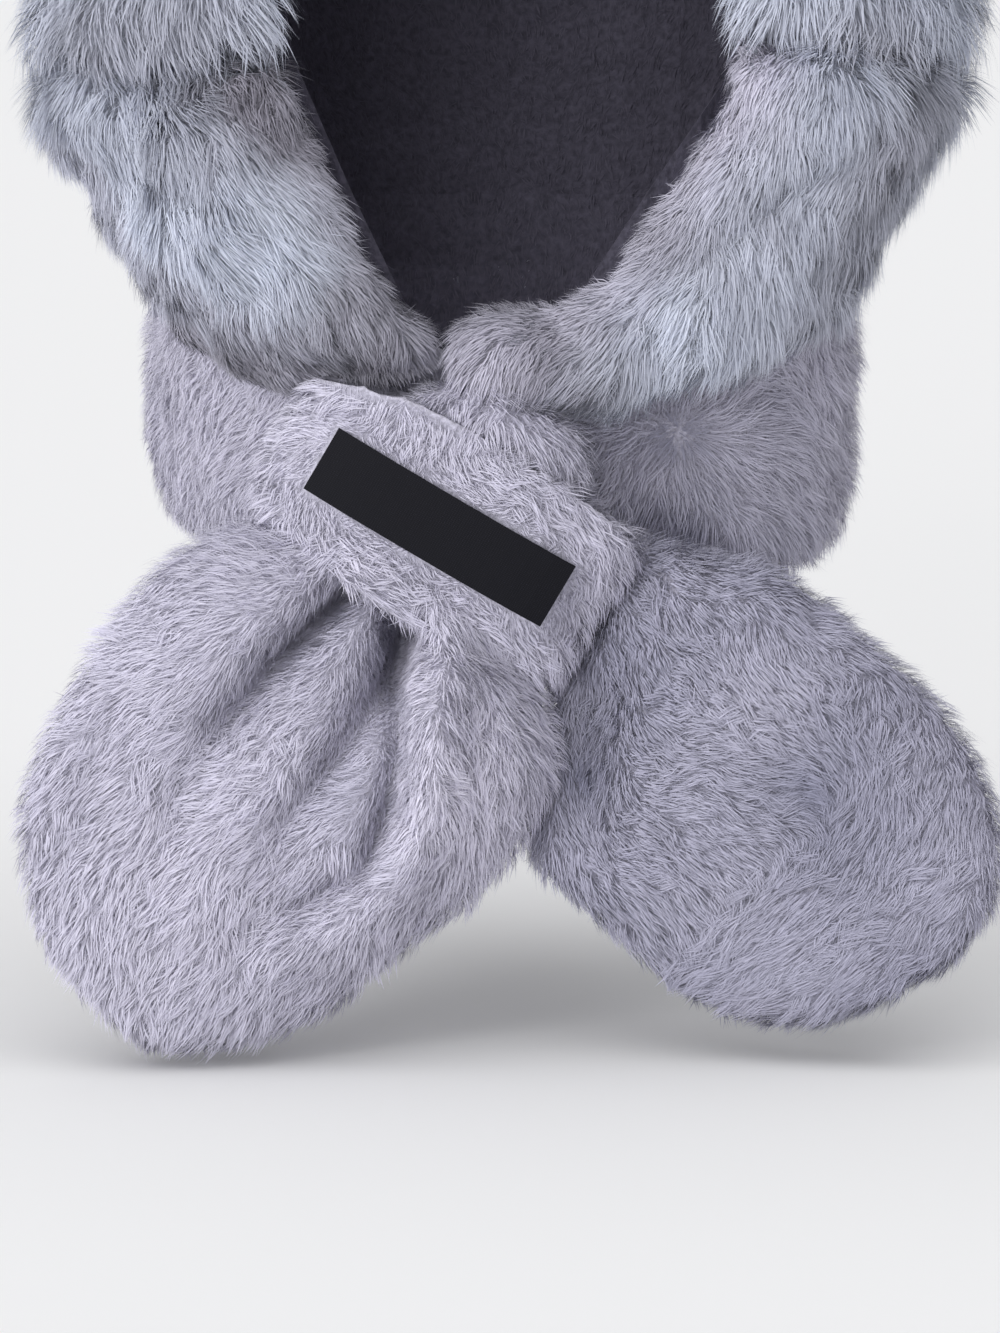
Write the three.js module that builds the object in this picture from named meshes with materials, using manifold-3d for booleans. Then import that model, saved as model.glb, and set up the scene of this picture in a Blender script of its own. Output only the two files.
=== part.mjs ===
// Plush animal hood that runs on into a scarf, closed by pulling one end through a loop
import * as THREE from 'three';
import { mergeVertices } from 'three/addons/utils/BufferGeometryUtils.js';
import Module from 'manifold-3d';

const wasm = await Module();
wasm.setup();

// Driving dimensions, in millimetres: the crown of the head is the origin, the face looks along -Y
const HEAD_WIDTH = 190;       // room across the head, inside the lining
const HEAD_FORE = 100;        // room in front of the middle of the head
const HEAD_AFT = 112;         // room behind the middle of the head
const HOOD_DROP = 232;        // crown of the head to the neck seam
const LINING_WALL = 2;        // fleece
const SHELL_WALL = 13;        // plush with its padding
const CLEARANCE = 0.3;        // gap between pieces that touch
const FACE_WIDTH = 124;       // face opening at the cheeks
const FACE_TOP = 66;          // crown of the head to the top of the face opening
const FACE_DROP = 240;        // crown of the head to the throat, where the two sides cross
const TRIM_LAP = 7;           // how far the fur rolls reach over the cut edge of the shell
const TRIM_PROUD = 33;        // how far the cheek rolls stand out past the shell
const TRIM_PUFF = 29;         // half the thickness of a cheek roll
const BRIM_RISE = 66;         // height of the fur roll above the face opening
const BRIM_PUFF = 25;         // half the thickness of the forehead roll
const BRIM_END = 158;         // crown of the head to the tufted ends of the forehead roll
const COLLAR_DROP = 81;       // neck seam to the hem
const COLLAR_WALL = 14;       // scarf where it goes round the neck
const HEM_DEPTH = 14;         // plush hem below the end of the lining
const LOOP_LONG = 118;        // loop across the strap, measured outside
const LOOP_WIDE = 73;         // loop along the strap
const LOOP_DEEP = 49;         // loop from front to back
const LOOP_WALL = 11;         // plush of the loop
const LOOP_TILT = 30.5;       // degrees that the loop slopes down to the viewer's right
const LOOP_DOWN = 65.5;       // neck seam to the middle of the loop
const LOOP_ASIDE = -18;       // middle of the loop, across the face
const STRAP_THICK = 25;       // gathered strap inside the loop
const END_WIDE = 157;         // width that the scarf's ends span from the loop
const END_LONG = 157;         // drop of the scarf's ends from the middle of the loop
const END_THICK = 40;         // filled thickness of the scarf's ends
const END_LEAN = 36;          // how far the tips stand in front of the loop's middle
const LABEL_LONG = 82;
const LABEL_WIDE = 21;
const LABEL_WALL = 1.4;
const EAR_WIDE = 78;
const EAR_TALL = 58;
const EAR_THICK = 28;
const EAR_ASIDE = 62;         // middle of an ear from the middle of the crown
const EAR_SINK = 30;          // root of an ear, below the crown of the head
const EAR_LEAN = 14;          // degrees that an ear leans outwards
const LOCK_LONG = 22;         // tufts of the deep fur
const LOCK_WIDE = 14;

// Sizes worked out from them
const SHELL_IN = LINING_WALL + CLEARANCE;
const SHELL_OUT = SHELL_IN + SHELL_WALL;
const TRIM_HALF = HEAD_WIDTH / 2 + SHELL_OUT + TRIM_PROUD;
const FACE_FRONT = HEAD_FORE + SHELL_OUT;
const COLLAR_TOP = -(HOOD_DROP + CLEARANCE);
const TILT = THREE.MathUtils.degToRad(LOOP_TILT);
const ALONG_LOOP = new THREE.Vector3(Math.cos(TILT), 0, -Math.sin(TILT));
const ALONG_STRAP = new THREE.Vector3(-Math.sin(TILT), 0, -Math.cos(TILT));
const FORWARD = new THREE.Vector3(0, -1, 0);
const HEAD_SIDES = 28;
const TRIM_SIDES = 16;
const BRIM_SIDES = 12;
const END_SIDES = 20;
const EAR_SIDES = 14;
const TRIM_STATIONS = 11;
const BRIM_STATIONS = 21;
const END_STATIONS = 17;
const EAR_CROWN = 0.07;        // share of an ear's height that its rounded tip adds
const BLUNT_CAP = 2;           // how far the middle of a roll's closed end stands out
const ROUND_CAP = 5;

// Hood from crown to neck: shares of its drop, and of the room at each side, in front and behind
const HOOD_ROWS = [
  { down: 0.008, wide: 0.16, fore: 0.16, aft: 0.16 },
  { down: 0.045, wide: 0.40, fore: 0.39, aft: 0.40 },
  { down: 0.110, wide: 0.62, fore: 0.60, aft: 0.62 },
  { down: 0.200, wide: 0.81, fore: 0.79, aft: 0.81 },
  { down: 0.310, wide: 0.94, fore: 0.92, aft: 0.95 },
  { down: 0.430, wide: 1.00, fore: 0.99, aft: 1.02 },
  { down: 0.560, wide: 1.01, fore: 1.00, aft: 1.01 },
  { down: 0.690, wide: 0.99, fore: 1.00, aft: 0.93 },
  { down: 0.800, wide: 0.975, fore: 0.97, aft: 0.82 },
  { down: 0.900, wide: 0.98, fore: 0.93, aft: 0.74 },
  { down: 1.000, wide: 0.995, fore: 0.88, aft: 0.72 },
];

// Scarf round the neck: shares of its drop, and of its own outer size at the seam
const COLLAR_ROWS = [
  { down: 0.00, wide: 1.000, fore: 1.000, aft: 1.000 },
  { down: 0.14, wide: 1.045, fore: 0.918, aft: 1.030 },
  { down: 0.40, wide: 1.055, fore: 0.846, aft: 1.075 },
  { down: 0.68, wide: 1.040, fore: 0.824, aft: 1.110 },
  { down: 0.86, wide: 1.015, fore: 0.813, aft: 1.110 },
  { down: 0.96, wide: 0.975, fore: 0.785, aft: 1.080 },
  { down: 1.00, wide: 0.920, fore: 0.752, aft: 1.030 },
];

// The seam follows the foot of the hood, and the loop lies on the front of the scarf
const HOOD_FOOT = HOOD_ROWS[HOOD_ROWS.length - 1];
const NECK = {
  wide: (HOOD_FOOT.wide * HEAD_WIDTH) / 2 + SHELL_IN + COLLAR_WALL,
  fore: HOOD_FOOT.fore * HEAD_FORE + SHELL_IN + COLLAR_WALL,
  aft: HOOD_FOOT.aft * HEAD_AFT + SHELL_IN + COLLAR_WALL,
};
const LOOP_MIDDLE = new THREE.Vector3(LOOP_ASIDE, 0, -(HOOD_DROP + LOOP_DOWN));
LOOP_MIDDLE.y = -(0.835 * NECK.fore + CLEARANCE + LOOP_DEEP / 2);

// Lower half of the face opening, clockwise from the viewer's right cheek: shares of its half
// width and of its drop
const THROAT_ROWS = [
  { across: 1.00, down: 0.500 },
  { across: 1.08, down: 0.660 },
  { across: 0.66, down: 0.830 },
  { across: 0.36, down: 0.960 },
  { across: -0.10, down: 1.055 },
  { across: -0.42, down: 0.975 },
  { across: -0.66, down: 0.830 },
  { across: -0.92, down: 0.660 },
];

// Cheek rolls from the temple to the throat. Across: shares of half the face opening and of half
// the span of the rolls. Down: shares of the face's drop. Back: shares of the front's depth.
const LEFT_TRIM_ROWS = [
  { inAcross: 0.98, inDown: 0.533, outAcross: 1.015, outDown: 0.533, outFore: 0.36, puff: 0.92 },
  { inAcross: 0.90, inDown: 0.636, outAcross: 0.995, outDown: 0.638, outFore: 0.36, puff: 1.00 },
  { inAcross: 0.79, inDown: 0.700, outAcross: 0.960, outDown: 0.725, outFore: 0.39, puff: 1.04 },
  { inAcross: 0.71, inDown: 0.763, outAcross: 0.910, outDown: 0.803, outFore: 0.43, puff: 1.03 },
  { inAcross: 0.61, inDown: 0.821, outAcross: 0.835, outDown: 0.873, outFore: 0.50, puff: 0.96 },
  { inAcross: 0.51, inDown: 0.879, outAcross: 0.775, outDown: 0.945, outFore: 0.54, puff: 0.88 },
  { inAcross: 0.42, inDown: 0.938, outAcross: 0.690, outDown: 1.020, outFore: 0.63, puff: 0.78 },
  { inAcross: 0.33, inDown: 0.978, outAcross: 0.545, outDown: 1.082, outFore: 0.75, puff: 0.66 },
  { inAcross: 0.24, inDown: 0.998, outAcross: 0.390, outDown: 1.095, outFore: 0.85, puff: 0.56 },
  { inAcross: 0.12, inDown: 1.012, outAcross: 0.205, outDown: 1.088, outFore: 0.90, puff: 0.48 },
];
const RIGHT_TRIM_ROWS = [
  { inAcross: 0.93, inDown: 0.533, outAcross: 1.025, outDown: 0.533, outFore: 0.36, puff: 0.92 },
  { inAcross: 1.04, inDown: 0.610, outAcross: 1.000, outDown: 0.643, outFore: 0.36, puff: 1.00 },
  { inAcross: 1.13, inDown: 0.672, outAcross: 0.970, outDown: 0.707, outFore: 0.39, puff: 1.04 },
  { inAcross: 1.02, inDown: 0.720, outAcross: 0.922, outDown: 0.771, outFore: 0.43, puff: 1.03 },
  { inAcross: 0.87, inDown: 0.775, outAcross: 0.860, outDown: 0.841, outFore: 0.50, puff: 0.96 },
  { inAcross: 0.71, inDown: 0.830, outAcross: 0.788, outDown: 0.930, outFore: 0.54, puff: 0.90 },
  { inAcross: 0.53, inDown: 0.893, outAcross: 0.715, outDown: 1.005, outFore: 0.61, puff: 0.82 },
  { inAcross: 0.34, inDown: 0.938, outAcross: 0.570, outDown: 1.072, outFore: 0.73, puff: 0.74 },
  { inAcross: 0.10, inDown: 0.966, outAcross: 0.373, outDown: 1.088, outFore: 0.84, puff: 0.66 },
  { inAcross: -0.09, inDown: 0.990, outAcross: 0.187, outDown: 1.120, outFore: 0.93, puff: 0.58 },
  { inAcross: -0.21, inDown: 1.003, outAcross: 0.060, outDown: 1.140, outFore: 0.97, puff: 0.50 },
];

// Scarf ends, both edges measured from the middle of the loop as shares of the ends' width and
// drop, then the share of the lean and of half the thickness. The strap's rows come first.
const LEFT_END_ROWS = [
  { aAcross: 0.02, aUp: 0.262, bAcross: 0.225, bUp: 0.133, lean: 0.00, puff: 0.50 },
  { aAcross: -0.15, aUp: 0.222, bAcross: 0.266, bUp: -0.024, lean: 0.00, puff: 0.58 },
  { aAcross: -0.241, aUp: 0.142, bAcross: 0.241, bUp: -0.142, lean: 0.00, puff: 0.60 },
  { aAcross: -0.275, aUp: 0.060, bAcross: 0.205, bUp: -0.265, lean: 0.02, puff: 0.62 },
  { aAcross: -0.420, aUp: 0.012, bAcross: 0.190, bUp: -0.420, lean: 0.20, puff: 0.80 },
  { aAcross: -0.560, aUp: -0.073, bAcross: 0.180, bUp: -0.530, lean: 0.42, puff: 0.95 },
  { aAcross: -0.675, aUp: -0.225, bAcross: 0.135, bUp: -0.641, lean: 0.60, puff: 1.00 },
  { aAcross: -0.762, aUp: -0.378, bAcross: 0.058, bUp: -0.736, lean: 0.72, puff: 1.00 },
  { aAcross: -0.815, aUp: -0.530, bAcross: -0.077, bUp: -0.829, lean: 0.82, puff: 0.98 },
  { aAcross: -0.791, aUp: -0.720, bAcross: -0.212, bUp: -0.933, lean: 0.92, puff: 0.90 },
  { aAcross: -0.733, aUp: -0.833, bAcross: -0.347, bUp: -0.984, lean: 0.98, puff: 0.76 },
  { aAcross: -0.650, aUp: -0.915, bAcross: -0.460, bUp: -0.995, lean: 1.00, puff: 0.52 },
];
const RIGHT_END_ROWS = [
  { aAcross: 0.215, aUp: -0.300, bAcross: 0.360, bUp: -0.030, lean: -0.32, puff: 0.50 },
  { aAcross: 0.205, aUp: -0.420, bAcross: 0.490, bUp: -0.085, lean: -0.20, puff: 0.66 },
  { aAcross: 0.178, aUp: -0.536, bAcross: 0.627, bUp: -0.128, lean: 0.02, puff: 0.82 },
  { aAcross: 0.160, aUp: -0.638, bAcross: 0.753, bUp: -0.168, lean: 0.20, puff: 0.95 },
  { aAcross: 0.222, aUp: -0.700, bAcross: 0.869, bUp: -0.240, lean: 0.38, puff: 1.00 },
  { aAcross: 0.318, aUp: -0.793, bAcross: 0.961, bUp: -0.328, lean: 0.54, puff: 1.00 },
  { aAcross: 0.444, aUp: -0.885, bAcross: 1.031, bUp: -0.422, lean: 0.68, puff: 0.98 },
  { aAcross: 0.569, aUp: -0.936, bAcross: 1.071, bUp: -0.524, lean: 0.80, puff: 0.92 },
  { aAcross: 0.695, aUp: -0.950, bAcross: 1.081, bUp: -0.627, lean: 0.90, puff: 0.82 },
  { aAcross: 0.811, aUp: -0.921, bAcross: 1.062, bUp: -0.711, lean: 0.97, puff: 0.66 },
  { aAcross: 0.890, aUp: -0.870, bAcross: 1.015, bUp: -0.775, lean: 1.00, puff: 0.44 },
];

// Creases in the front of an end: from and to are shares of its length, across runs from -1 to 1
// between its edges, and depth is a share of half its thickness
const LEFT_CREASES = [
  { from: 0.30, to: 0.74, acrossFrom: -0.24, acrossTo: -0.36, depth: 0.42, width: 0.17 },
  { from: 0.30, to: 0.82, acrossFrom: 0.02, acrossTo: 0.30, depth: 0.60, width: 0.14 },
];
const RIGHT_CREASES = [
  { from: 0.00, to: 0.62, acrossFrom: -0.62, acrossTo: -0.66, depth: 0.40, width: 0.16 },
  { from: 0.45, to: 0.98, acrossFrom: 0.30, acrossTo: 0.10, depth: 0.22, width: 0.34 },
];

// Ear from root to tip: shares of its height, width and thickness
const EAR_ROWS = [
  { up: 0.00, wide: 0.86, thick: 1.00 },
  { up: 0.30, wide: 0.98, thick: 1.00 },
  { up: 0.52, wide: 1.00, thick: 0.96 },
  { up: 0.70, wide: 0.90, thick: 0.86 },
  { up: 0.84, wide: 0.70, thick: 0.72 },
  { up: 0.94, wide: 0.42, thick: 0.50 },
];

// One value on the smooth curve through four neighbours of a table
function smooth(before, start, end, after, t) {
  const rise = (end - before) / 2;
  const fall = (after - start) / 2;
  const bend = 2 * start - 2 * end + rise + fall;
  const slope = -3 * start + 3 * end - 2 * rise - fall;
  return ((bend * t + slope) * t + rise) * t + start;
}

// A row of a table at any share of the way along it
function rowAt(rows, share) {
  const place = share * (rows.length - 1);
  const first = Math.min(Math.floor(place), rows.length - 2);
  const near = (step) => rows[THREE.MathUtils.clamp(first + step, 0, rows.length - 1)];
  const row = {};
  for (const name of Object.keys(rows[0])) {
    const [before, start, end, after] = [near(-1), near(0), near(1), near(2)].map((r) => r[name]);
    row[name] = smooth(before, start, end, after, place - first);
  }
  return row;
}

// A closed solid from corners and triangles, turned so that its faces point out
function solidFrom(corners, triangles) {
  const [a, b, c] = [new THREE.Vector3(), new THREE.Vector3(), new THREE.Vector3()];
  let volume = 0;
  for (const [i, j, k] of triangles) {
    a.copy(corners[i]);
    b.copy(corners[j]);
    c.copy(corners[k]);
    volume += a.dot(b.cross(c));
  }
  const turned = volume < 0 ? triangles.map(([i, j, k]) => [i, k, j]) : triangles;
  const vertProperties = new Float32Array(corners.flatMap((p) => [p.x, p.y, p.z]));
  const triVerts = new Uint32Array(turned.flat());
  return new wasm.Manifold(new wasm.Mesh({ numProp: 3, vertProperties, triVerts }));
}

// The band of triangles between two rings of points that start at two indices
function ringBand(first, second, count) {
  const band = [];
  for (let k = 0; k < count; k++) {
    const next = (k + 1) % count;
    band.push([first + k, first + next, second + next]);
    band.push([first + k, second + next, second + k]);
  }
  return band;
}

// A solid through rings of points, closed by a tip beyond either end
function loft(rings, firstTip, lastTip) {
  const count = rings[0].length;
  const corners = [...rings.flat(), firstTip, lastTip];
  const triangles = [];
  for (let r = 0; r < rings.length - 1; r++) {
    triangles.push(...ringBand(r * count, (r + 1) * count, count));
  }
  const last = (rings.length - 1) * count;
  for (let k = 0; k < count; k++) {
    const next = (k + 1) % count;
    triangles.push([next, k, corners.length - 2]);
    triangles.push([last + k, last + next, corners.length - 1]);
  }
  return solidFrom(corners, triangles);
}

// A solid through rings of points that come round to the first one again
function hoop(rings) {
  const count = rings[0].length;
  const triangles = [];
  rings.forEach((ring, r) => {
    triangles.push(...ringBand(r * count, ((r + 1) % rings.length) * count, count));
  });
  return solidFrom(rings.flat(), triangles);
}

// The largest body of a solid, without the crumbs that a cut can leave
function mainBody(solid) {
  const bodies = solid.decompose();
  return bodies.reduce((best, body) => (body.volume() > best.volume() ? body : best));
}

// One oval ring round the head at a height, a little squarer than an ellipse
function headRing(height, wide, fore, aft) {
  const ring = [];
  for (let k = 0; k < HEAD_SIDES; k++) {
    const angle = (2 * Math.PI * k) / HEAD_SIDES;
    const [across, along] = [Math.cos(angle), Math.sin(angle)];
    const depth = along > 0 ? aft : fore;
    const bulge = (value) => Math.sign(value) * Math.abs(value) ** 0.92;
    ring.push(new THREE.Vector3(wide * bulge(across), depth * bulge(along), height));
  }
  return ring;
}

// The hood's form, a given distance outside the head, down to a given depth under the neck seam
function hoodForm(outside, below) {
  const rings = [];
  HOOD_ROWS.forEach((row, r) => {
    const above = HOOD_ROWS[Math.max(r - 1, 0)];
    const under = HOOD_ROWS[Math.min(r + 1, HOOD_ROWS.length - 1)];
    const run = ((under.wide - above.wide) * HEAD_WIDTH) / 2;
    const fall = (under.down - above.down) * HOOD_DROP;
    const up = (outside * run) / Math.hypot(run, fall);
    const out = (outside * fall) / Math.hypot(run, fall);
    const height = r === HOOD_ROWS.length - 1 ? -HOOD_DROP : -row.down * HOOD_DROP + up;
    const wide = (row.wide * HEAD_WIDTH) / 2 + out;
    rings.push(headRing(height, wide, row.fore * HEAD_FORE + out, row.aft * HEAD_AFT + out));
  });
  if (below > 0) {
    rings.push(rings[rings.length - 1].map((p) => p.clone().setZ(-HOOD_DROP - below)));
  }
  const foot = rings[rings.length - 1][0].z;
  return loft(rings, new THREE.Vector3(0, 0, outside), new THREE.Vector3(0, 0, foot));
}

// What is cut from the front of the hood: an arch over the brow that narrows to the throat
function faceCut(lap) {
  const half = FACE_WIDTH / 2 + lap;
  const brow = -(FACE_TOP - lap);
  const cheek = -0.5 * FACE_DROP;
  const outline = new THREE.Shape();
  outline.moveTo(-half, cheek);
  for (let k = 1; k < 12; k++) {
    const angle = Math.PI * (1 - k / 12);
    outline.lineTo(half * Math.cos(angle), cheek + (brow - cheek) * Math.sin(angle));
  }
  for (const { across, down } of THROAT_ROWS) {
    outline.lineTo(half * across, -down * FACE_DROP);
  }
  outline.closePath();
  const block = new THREE.ExtrudeGeometry(outline, { depth: 2 * FACE_FRONT, bevelEnabled: false });
  block.rotateX(Math.PI / 2);
  block.translate(0, -0.2 * HEAD_FORE, 0);
  return solidOf(block);
}

// A three.js geometry as a solid, with its shared corners merged
function solidOf(geometry) {
  geometry.deleteAttribute('normal');
  geometry.deleteAttribute('uv');
  const merged = mergeVertices(geometry);
  const vertProperties = new Float32Array(merged.attributes.position.array);
  const triVerts = new Uint32Array(merged.index.array);
  return new wasm.Manifold(new wasm.Mesh({ numProp: 3, vertProperties, triVerts }));
}

// How far the creases of a piece sink its front, at a share of its length and place across it
function creaseDepth(creases, share, across) {
  let depth = 0;
  for (const crease of creases) {
    const run = (share - crease.from) / (crease.to - crease.from);
    if (run > 0 && run < 1) {
      const middle = THREE.MathUtils.lerp(crease.acrossFrom, crease.acrossTo, run);
      const fade = Math.sin(Math.PI * run) ** 0.6;
      depth += crease.depth * fade * Math.exp(-(((across - middle) / crease.width) ** 2));
    }
  }
  return depth;
}

// One section of a roll: an oval between two edges, with a given half thickness
function rollSection(section, creases, share, grow, count) {
  const middle = section.a.clone().add(section.b).multiplyScalar(0.5);
  const half = section.b.clone().sub(section.a).multiplyScalar(0.5);
  const side = half.clone().normalize();
  const out = section.out.clone().addScaledVector(side, -section.out.dot(side)).normalize();
  half.addScaledVector(side, grow);
  const ring = [];
  for (let k = 0; k < count; k++) {
    const angle = (2 * Math.PI * k) / count;
    const across = -Math.cos(angle);
    const lift = Math.sin(angle);
    const sunk = lift > 0 ? 1 - creaseDepth(creases, share, across) : 1;
    const rise = (section.puff * sunk + grow) * lift;
    ring.push(middle.clone().addScaledVector(half, across).addScaledVector(out, rise));
  }
  return ring;
}

// A roll through the sections that a function gives for shares from 0 to 1, with round ends
function roll(sectionAt, stations, options) {
  const { creases = [], grow = 0, count = 18, startCap = 0, endCap = 0 } = options;
  const sections = [];
  for (let s = 0; s < stations; s++) {
    sections.push(sectionAt(s / (stations - 1)));
  }
  const middles = sections.map((s) => s.a.clone().add(s.b).multiplyScalar(0.5));
  const rings = sections.map((s, k) => rollSection(s, creases, k / (stations - 1), grow, count));
  const tip = (end, before, cap) => {
    const way = middles[end].clone().sub(middles[before]).normalize();
    return middles[end].clone().addScaledVector(way, cap + grow);
  };
  const lastOne = stations - 1;
  return loft(rings, tip(0, 1, startCap), tip(lastOne, lastOne - 1, endCap));
}

// Directions that point out of the hood, level with the head
function outward(point) {
  return new THREE.Vector3(point.x * 0.9, point.y, 0).normalize();
}

// Section of a cheek roll, on the viewer's left for side -1 and right for side 1
function trimSection(rows, side, share) {
  const row = rowAt(rows, share);
  const inner = new THREE.Vector3();
  inner.set((side * row.inAcross * FACE_WIDTH) / 2, -0.9 * FACE_FRONT, -row.inDown * FACE_DROP);
  const outer = new THREE.Vector3();
  outer.set(side * row.outAcross * TRIM_HALF, -row.outFore * FACE_FRONT, -row.outDown * FACE_DROP);
  const middle = inner.clone().add(outer).multiplyScalar(0.5);
  return { a: inner, b: outer, puff: row.puff * TRIM_PUFF, out: outward(middle) };
}

function trimCore(rows, side, grow) {
  const section = (share) => trimSection(rows, side, share);
  const ends = { startCap: ROUND_CAP, endCap: ROUND_CAP };
  return roll(section, TRIM_STATIONS, { grow, count: TRIM_SIDES, ...ends });
}

// Section of the forehead roll, from the viewer's left temple over the brow to the right one
function brimSection(share) {
  const straight = 0.14;
  const turn = THREE.MathUtils.clamp((share - straight) / (1 - 2 * straight), 0, 1);
  const angle = Math.PI * turn;
  const hang = Math.max(straight - share, share - 1 + straight, 0) / straight;
  const cheek = -0.533 * FACE_DROP - hang * (BRIM_END - 0.533 * FACE_DROP);
  const browRise = 0.533 * FACE_DROP - FACE_TOP;
  const [across, rise] = [-Math.cos(angle), Math.sin(angle)];
  const flare = share > 0.5 ? 0.2 * hang : 0;
  const inner = new THREE.Vector3(0, -0.9 * FACE_FRONT, cheek + browRise * rise);
  inner.x = ((0.95 * across + flare) * FACE_WIDTH) / 2;
  const outer = new THREE.Vector3(across * TRIM_HALF, -(0.36 + 0.2 * rise) * FACE_FRONT, 0);
  outer.z = cheek + (browRise + BRIM_RISE) * rise;
  const lift = new THREE.Vector3(0, 0, 0.75 * rise);
  const middle = inner.clone().add(outer).multiplyScalar(0.5);
  const puff = BRIM_PUFF * (1.28 - 0.2 * rise);
  return { a: inner, b: outer, puff, out: outward(middle).add(lift) };
}

function brimCore(grow) {
  const ends = { startCap: ROUND_CAP, endCap: ROUND_CAP };
  return roll(brimSection, BRIM_STATIONS, { grow, count: BRIM_SIDES, ...ends });
}

// One tuft of deep fur: a four-sided lock that bends as it runs from its root to its tip
function lock(root, way, bend, long, wide) {
  const side = new THREE.Vector3().crossVectors(way, bend).normalize();
  const flat = new THREE.Vector3().crossVectors(side, way).normalize();
  const ringAt = (share, size) => {
    const middle = root.clone().addScaledVector(way, long * share);
    middle.addScaledVector(bend, long * 0.4 * share * share);
    return [[1, 0], [0, 0.7], [-1, 0], [0, -0.7]].map(([across, thick]) => {
      const corner = middle.clone().addScaledVector(side, across * size);
      return corner.addScaledVector(flat, thick * size);
    });
  };
  const tip = root.clone().addScaledVector(way, long).addScaledVector(bend, long * 0.4);
  const heel = root.clone().addScaledVector(way, -long * 0.1);
  return loft([ringAt(0, wide * 0.5), ringAt(0.55, wide * 0.42)], heel, tip);
}

// Tufts over the front of a roll: rows of them across it, each row half a step from the last
function furLocks(sectionAt, places, shareFrom, shareTo, flow) {
  const locks = [];
  places.forEach(({ across, count }, line) => {
    for (let k = 0; k < count; k++) {
      const step = (k + 0.5 + 0.25 * (line % 2 ? 1 : -1)) / count;
      const share = THREE.MathUtils.lerp(shareFrom, shareTo, step);
      const section = sectionAt(share);
      const half = section.b.clone().sub(section.a).multiplyScalar(0.5);
      const side = half.clone().normalize();
      const out = section.out.clone().addScaledVector(side, -section.out.dot(side)).normalize();
      const lift = Math.sqrt(1 - across * across);
      const root = section.a.clone().add(section.b).multiplyScalar(0.5);
      root.addScaledVector(half, across * 0.84).addScaledVector(out, section.puff * lift * 0.86);
      const normal = out.multiplyScalar(lift).addScaledVector(side, across);
      const way = normal.multiplyScalar(0.5).addScaledVector(flow, 1).normalize();
      const size = 0.85 + 0.3 * Math.abs(Math.sin(2.4 * (k + 1) + line));
      locks.push(lock(root, way, flow, LOCK_LONG * size, LOCK_WIDE * size));
    }
  });
  return locks;
}

// The scarf round the neck, a given distance inside its outer face and run on beyond both ends
function collarForm(inset, beyond) {
  const rings = COLLAR_ROWS.map((row) => {
    const height = COLLAR_TOP - row.down * COLLAR_DROP;
    const wide = row.wide * NECK.wide - inset;
    return headRing(height, wide, row.fore * NECK.fore - inset, row.aft * NECK.aft - inset);
  });
  if (beyond > 0) {
    rings.unshift(rings[0].map((p) => p.clone().setZ(p.z + beyond)));
    rings.push(rings[rings.length - 1].map((p) => p.clone().setZ(p.z - beyond)));
  }
  const tip = (ring) => new THREE.Vector3(0, 0, ring[0].z);
  return loft(rings, tip(rings[0]), tip(rings[rings.length - 1]));
}

// The lining's stretch inside the scarf, which stops short of the hem
function neckLining() {
  const outer = collarForm(COLLAR_WALL + CLEARANCE, 0);
  const inner = collarForm(COLLAR_WALL + CLEARANCE + LINING_WALL, 1);
  const room = new THREE.BoxGeometry(4 * NECK.wide, 4 * NECK.aft, COLLAR_DROP - HEM_DEPTH);
  room.translate(0, 0, COLLAR_TOP - (COLLAR_DROP - HEM_DEPTH) / 2);
  return outer.subtract(inner).intersect(solidOf(room));
}

// The loop: a flat padded band that goes once round the strap
function loopBand(grow) {
  const rings = [];
  const turns = 28;
  const longHalf = (LOOP_LONG - LOOP_WALL) / 2;
  const deepHalf = (LOOP_DEEP - LOOP_WALL) / 2;
  for (let k = 0; k < turns; k++) {
    const angle = (2 * Math.PI * k) / turns;
    const [along, deep] = [Math.cos(angle), Math.sin(angle)];
    const square = (value) => Math.sign(value) * Math.abs(value) ** 0.8;
    const middle = LOOP_MIDDLE.clone().addScaledVector(ALONG_LOOP, longHalf * square(along));
    middle.addScaledVector(FORWARD, deepHalf * square(deep));
    const normal = ALONG_LOOP.clone().multiplyScalar(along / longHalf);
    normal.addScaledVector(FORWARD, deep / deepHalf).normalize();
    const narrow = along > 0 ? 0.16 : 0.34;
    const half = (LOOP_WIDE / 2) * (1 - narrow * Math.abs(along) ** 1.6) + grow;
    const ring = [];
    for (let j = 0; j < 10; j++) {
      const round = (2 * Math.PI * j) / 10;
      const edge = Math.sign(Math.cos(round)) * Math.abs(Math.cos(round)) ** 0.7;
      const corner = middle.clone().addScaledVector(ALONG_STRAP, half * edge);
      ring.push(corner.addScaledVector(normal, (LOOP_WALL / 2 + grow) * Math.sin(round)));
    }
    rings.push(ring);
  }
  return hoop(rings);
}

// Section of a scarf end, from its strap to its tip
function endSection(rows, share) {
  const row = rowAt(rows, share);
  const edge = (across, up) => {
    const point = LOOP_MIDDLE.clone().addScaledVector(FORWARD, row.lean * END_LEAN);
    point.x += across * END_WIDE;
    point.z += up * END_LONG;
    return point;
  };
  const a = edge(row.aAcross, row.aUp);
  const b = edge(row.bAcross, row.bUp);
  const inLoop = (STRAP_THICK / 2) * THREE.MathUtils.clamp(row.puff / 0.6, 0, 1);
  const filled = (END_THICK / 2) * row.puff;
  const puff = row.puff > 0.6 ? Math.max(inLoop, filled) : Math.min(inLoop, filled * 1.1);
  return { a, b, puff, out: FORWARD };
}

function scarfEnd(rows, creases, grow) {
  const section = (share) => endSection(rows, share);
  const ends = { startCap: BLUNT_CAP, endCap: ROUND_CAP };
  return roll(section, END_STATIONS, { creases, grow, count: END_SIDES, ...ends });
}

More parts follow.
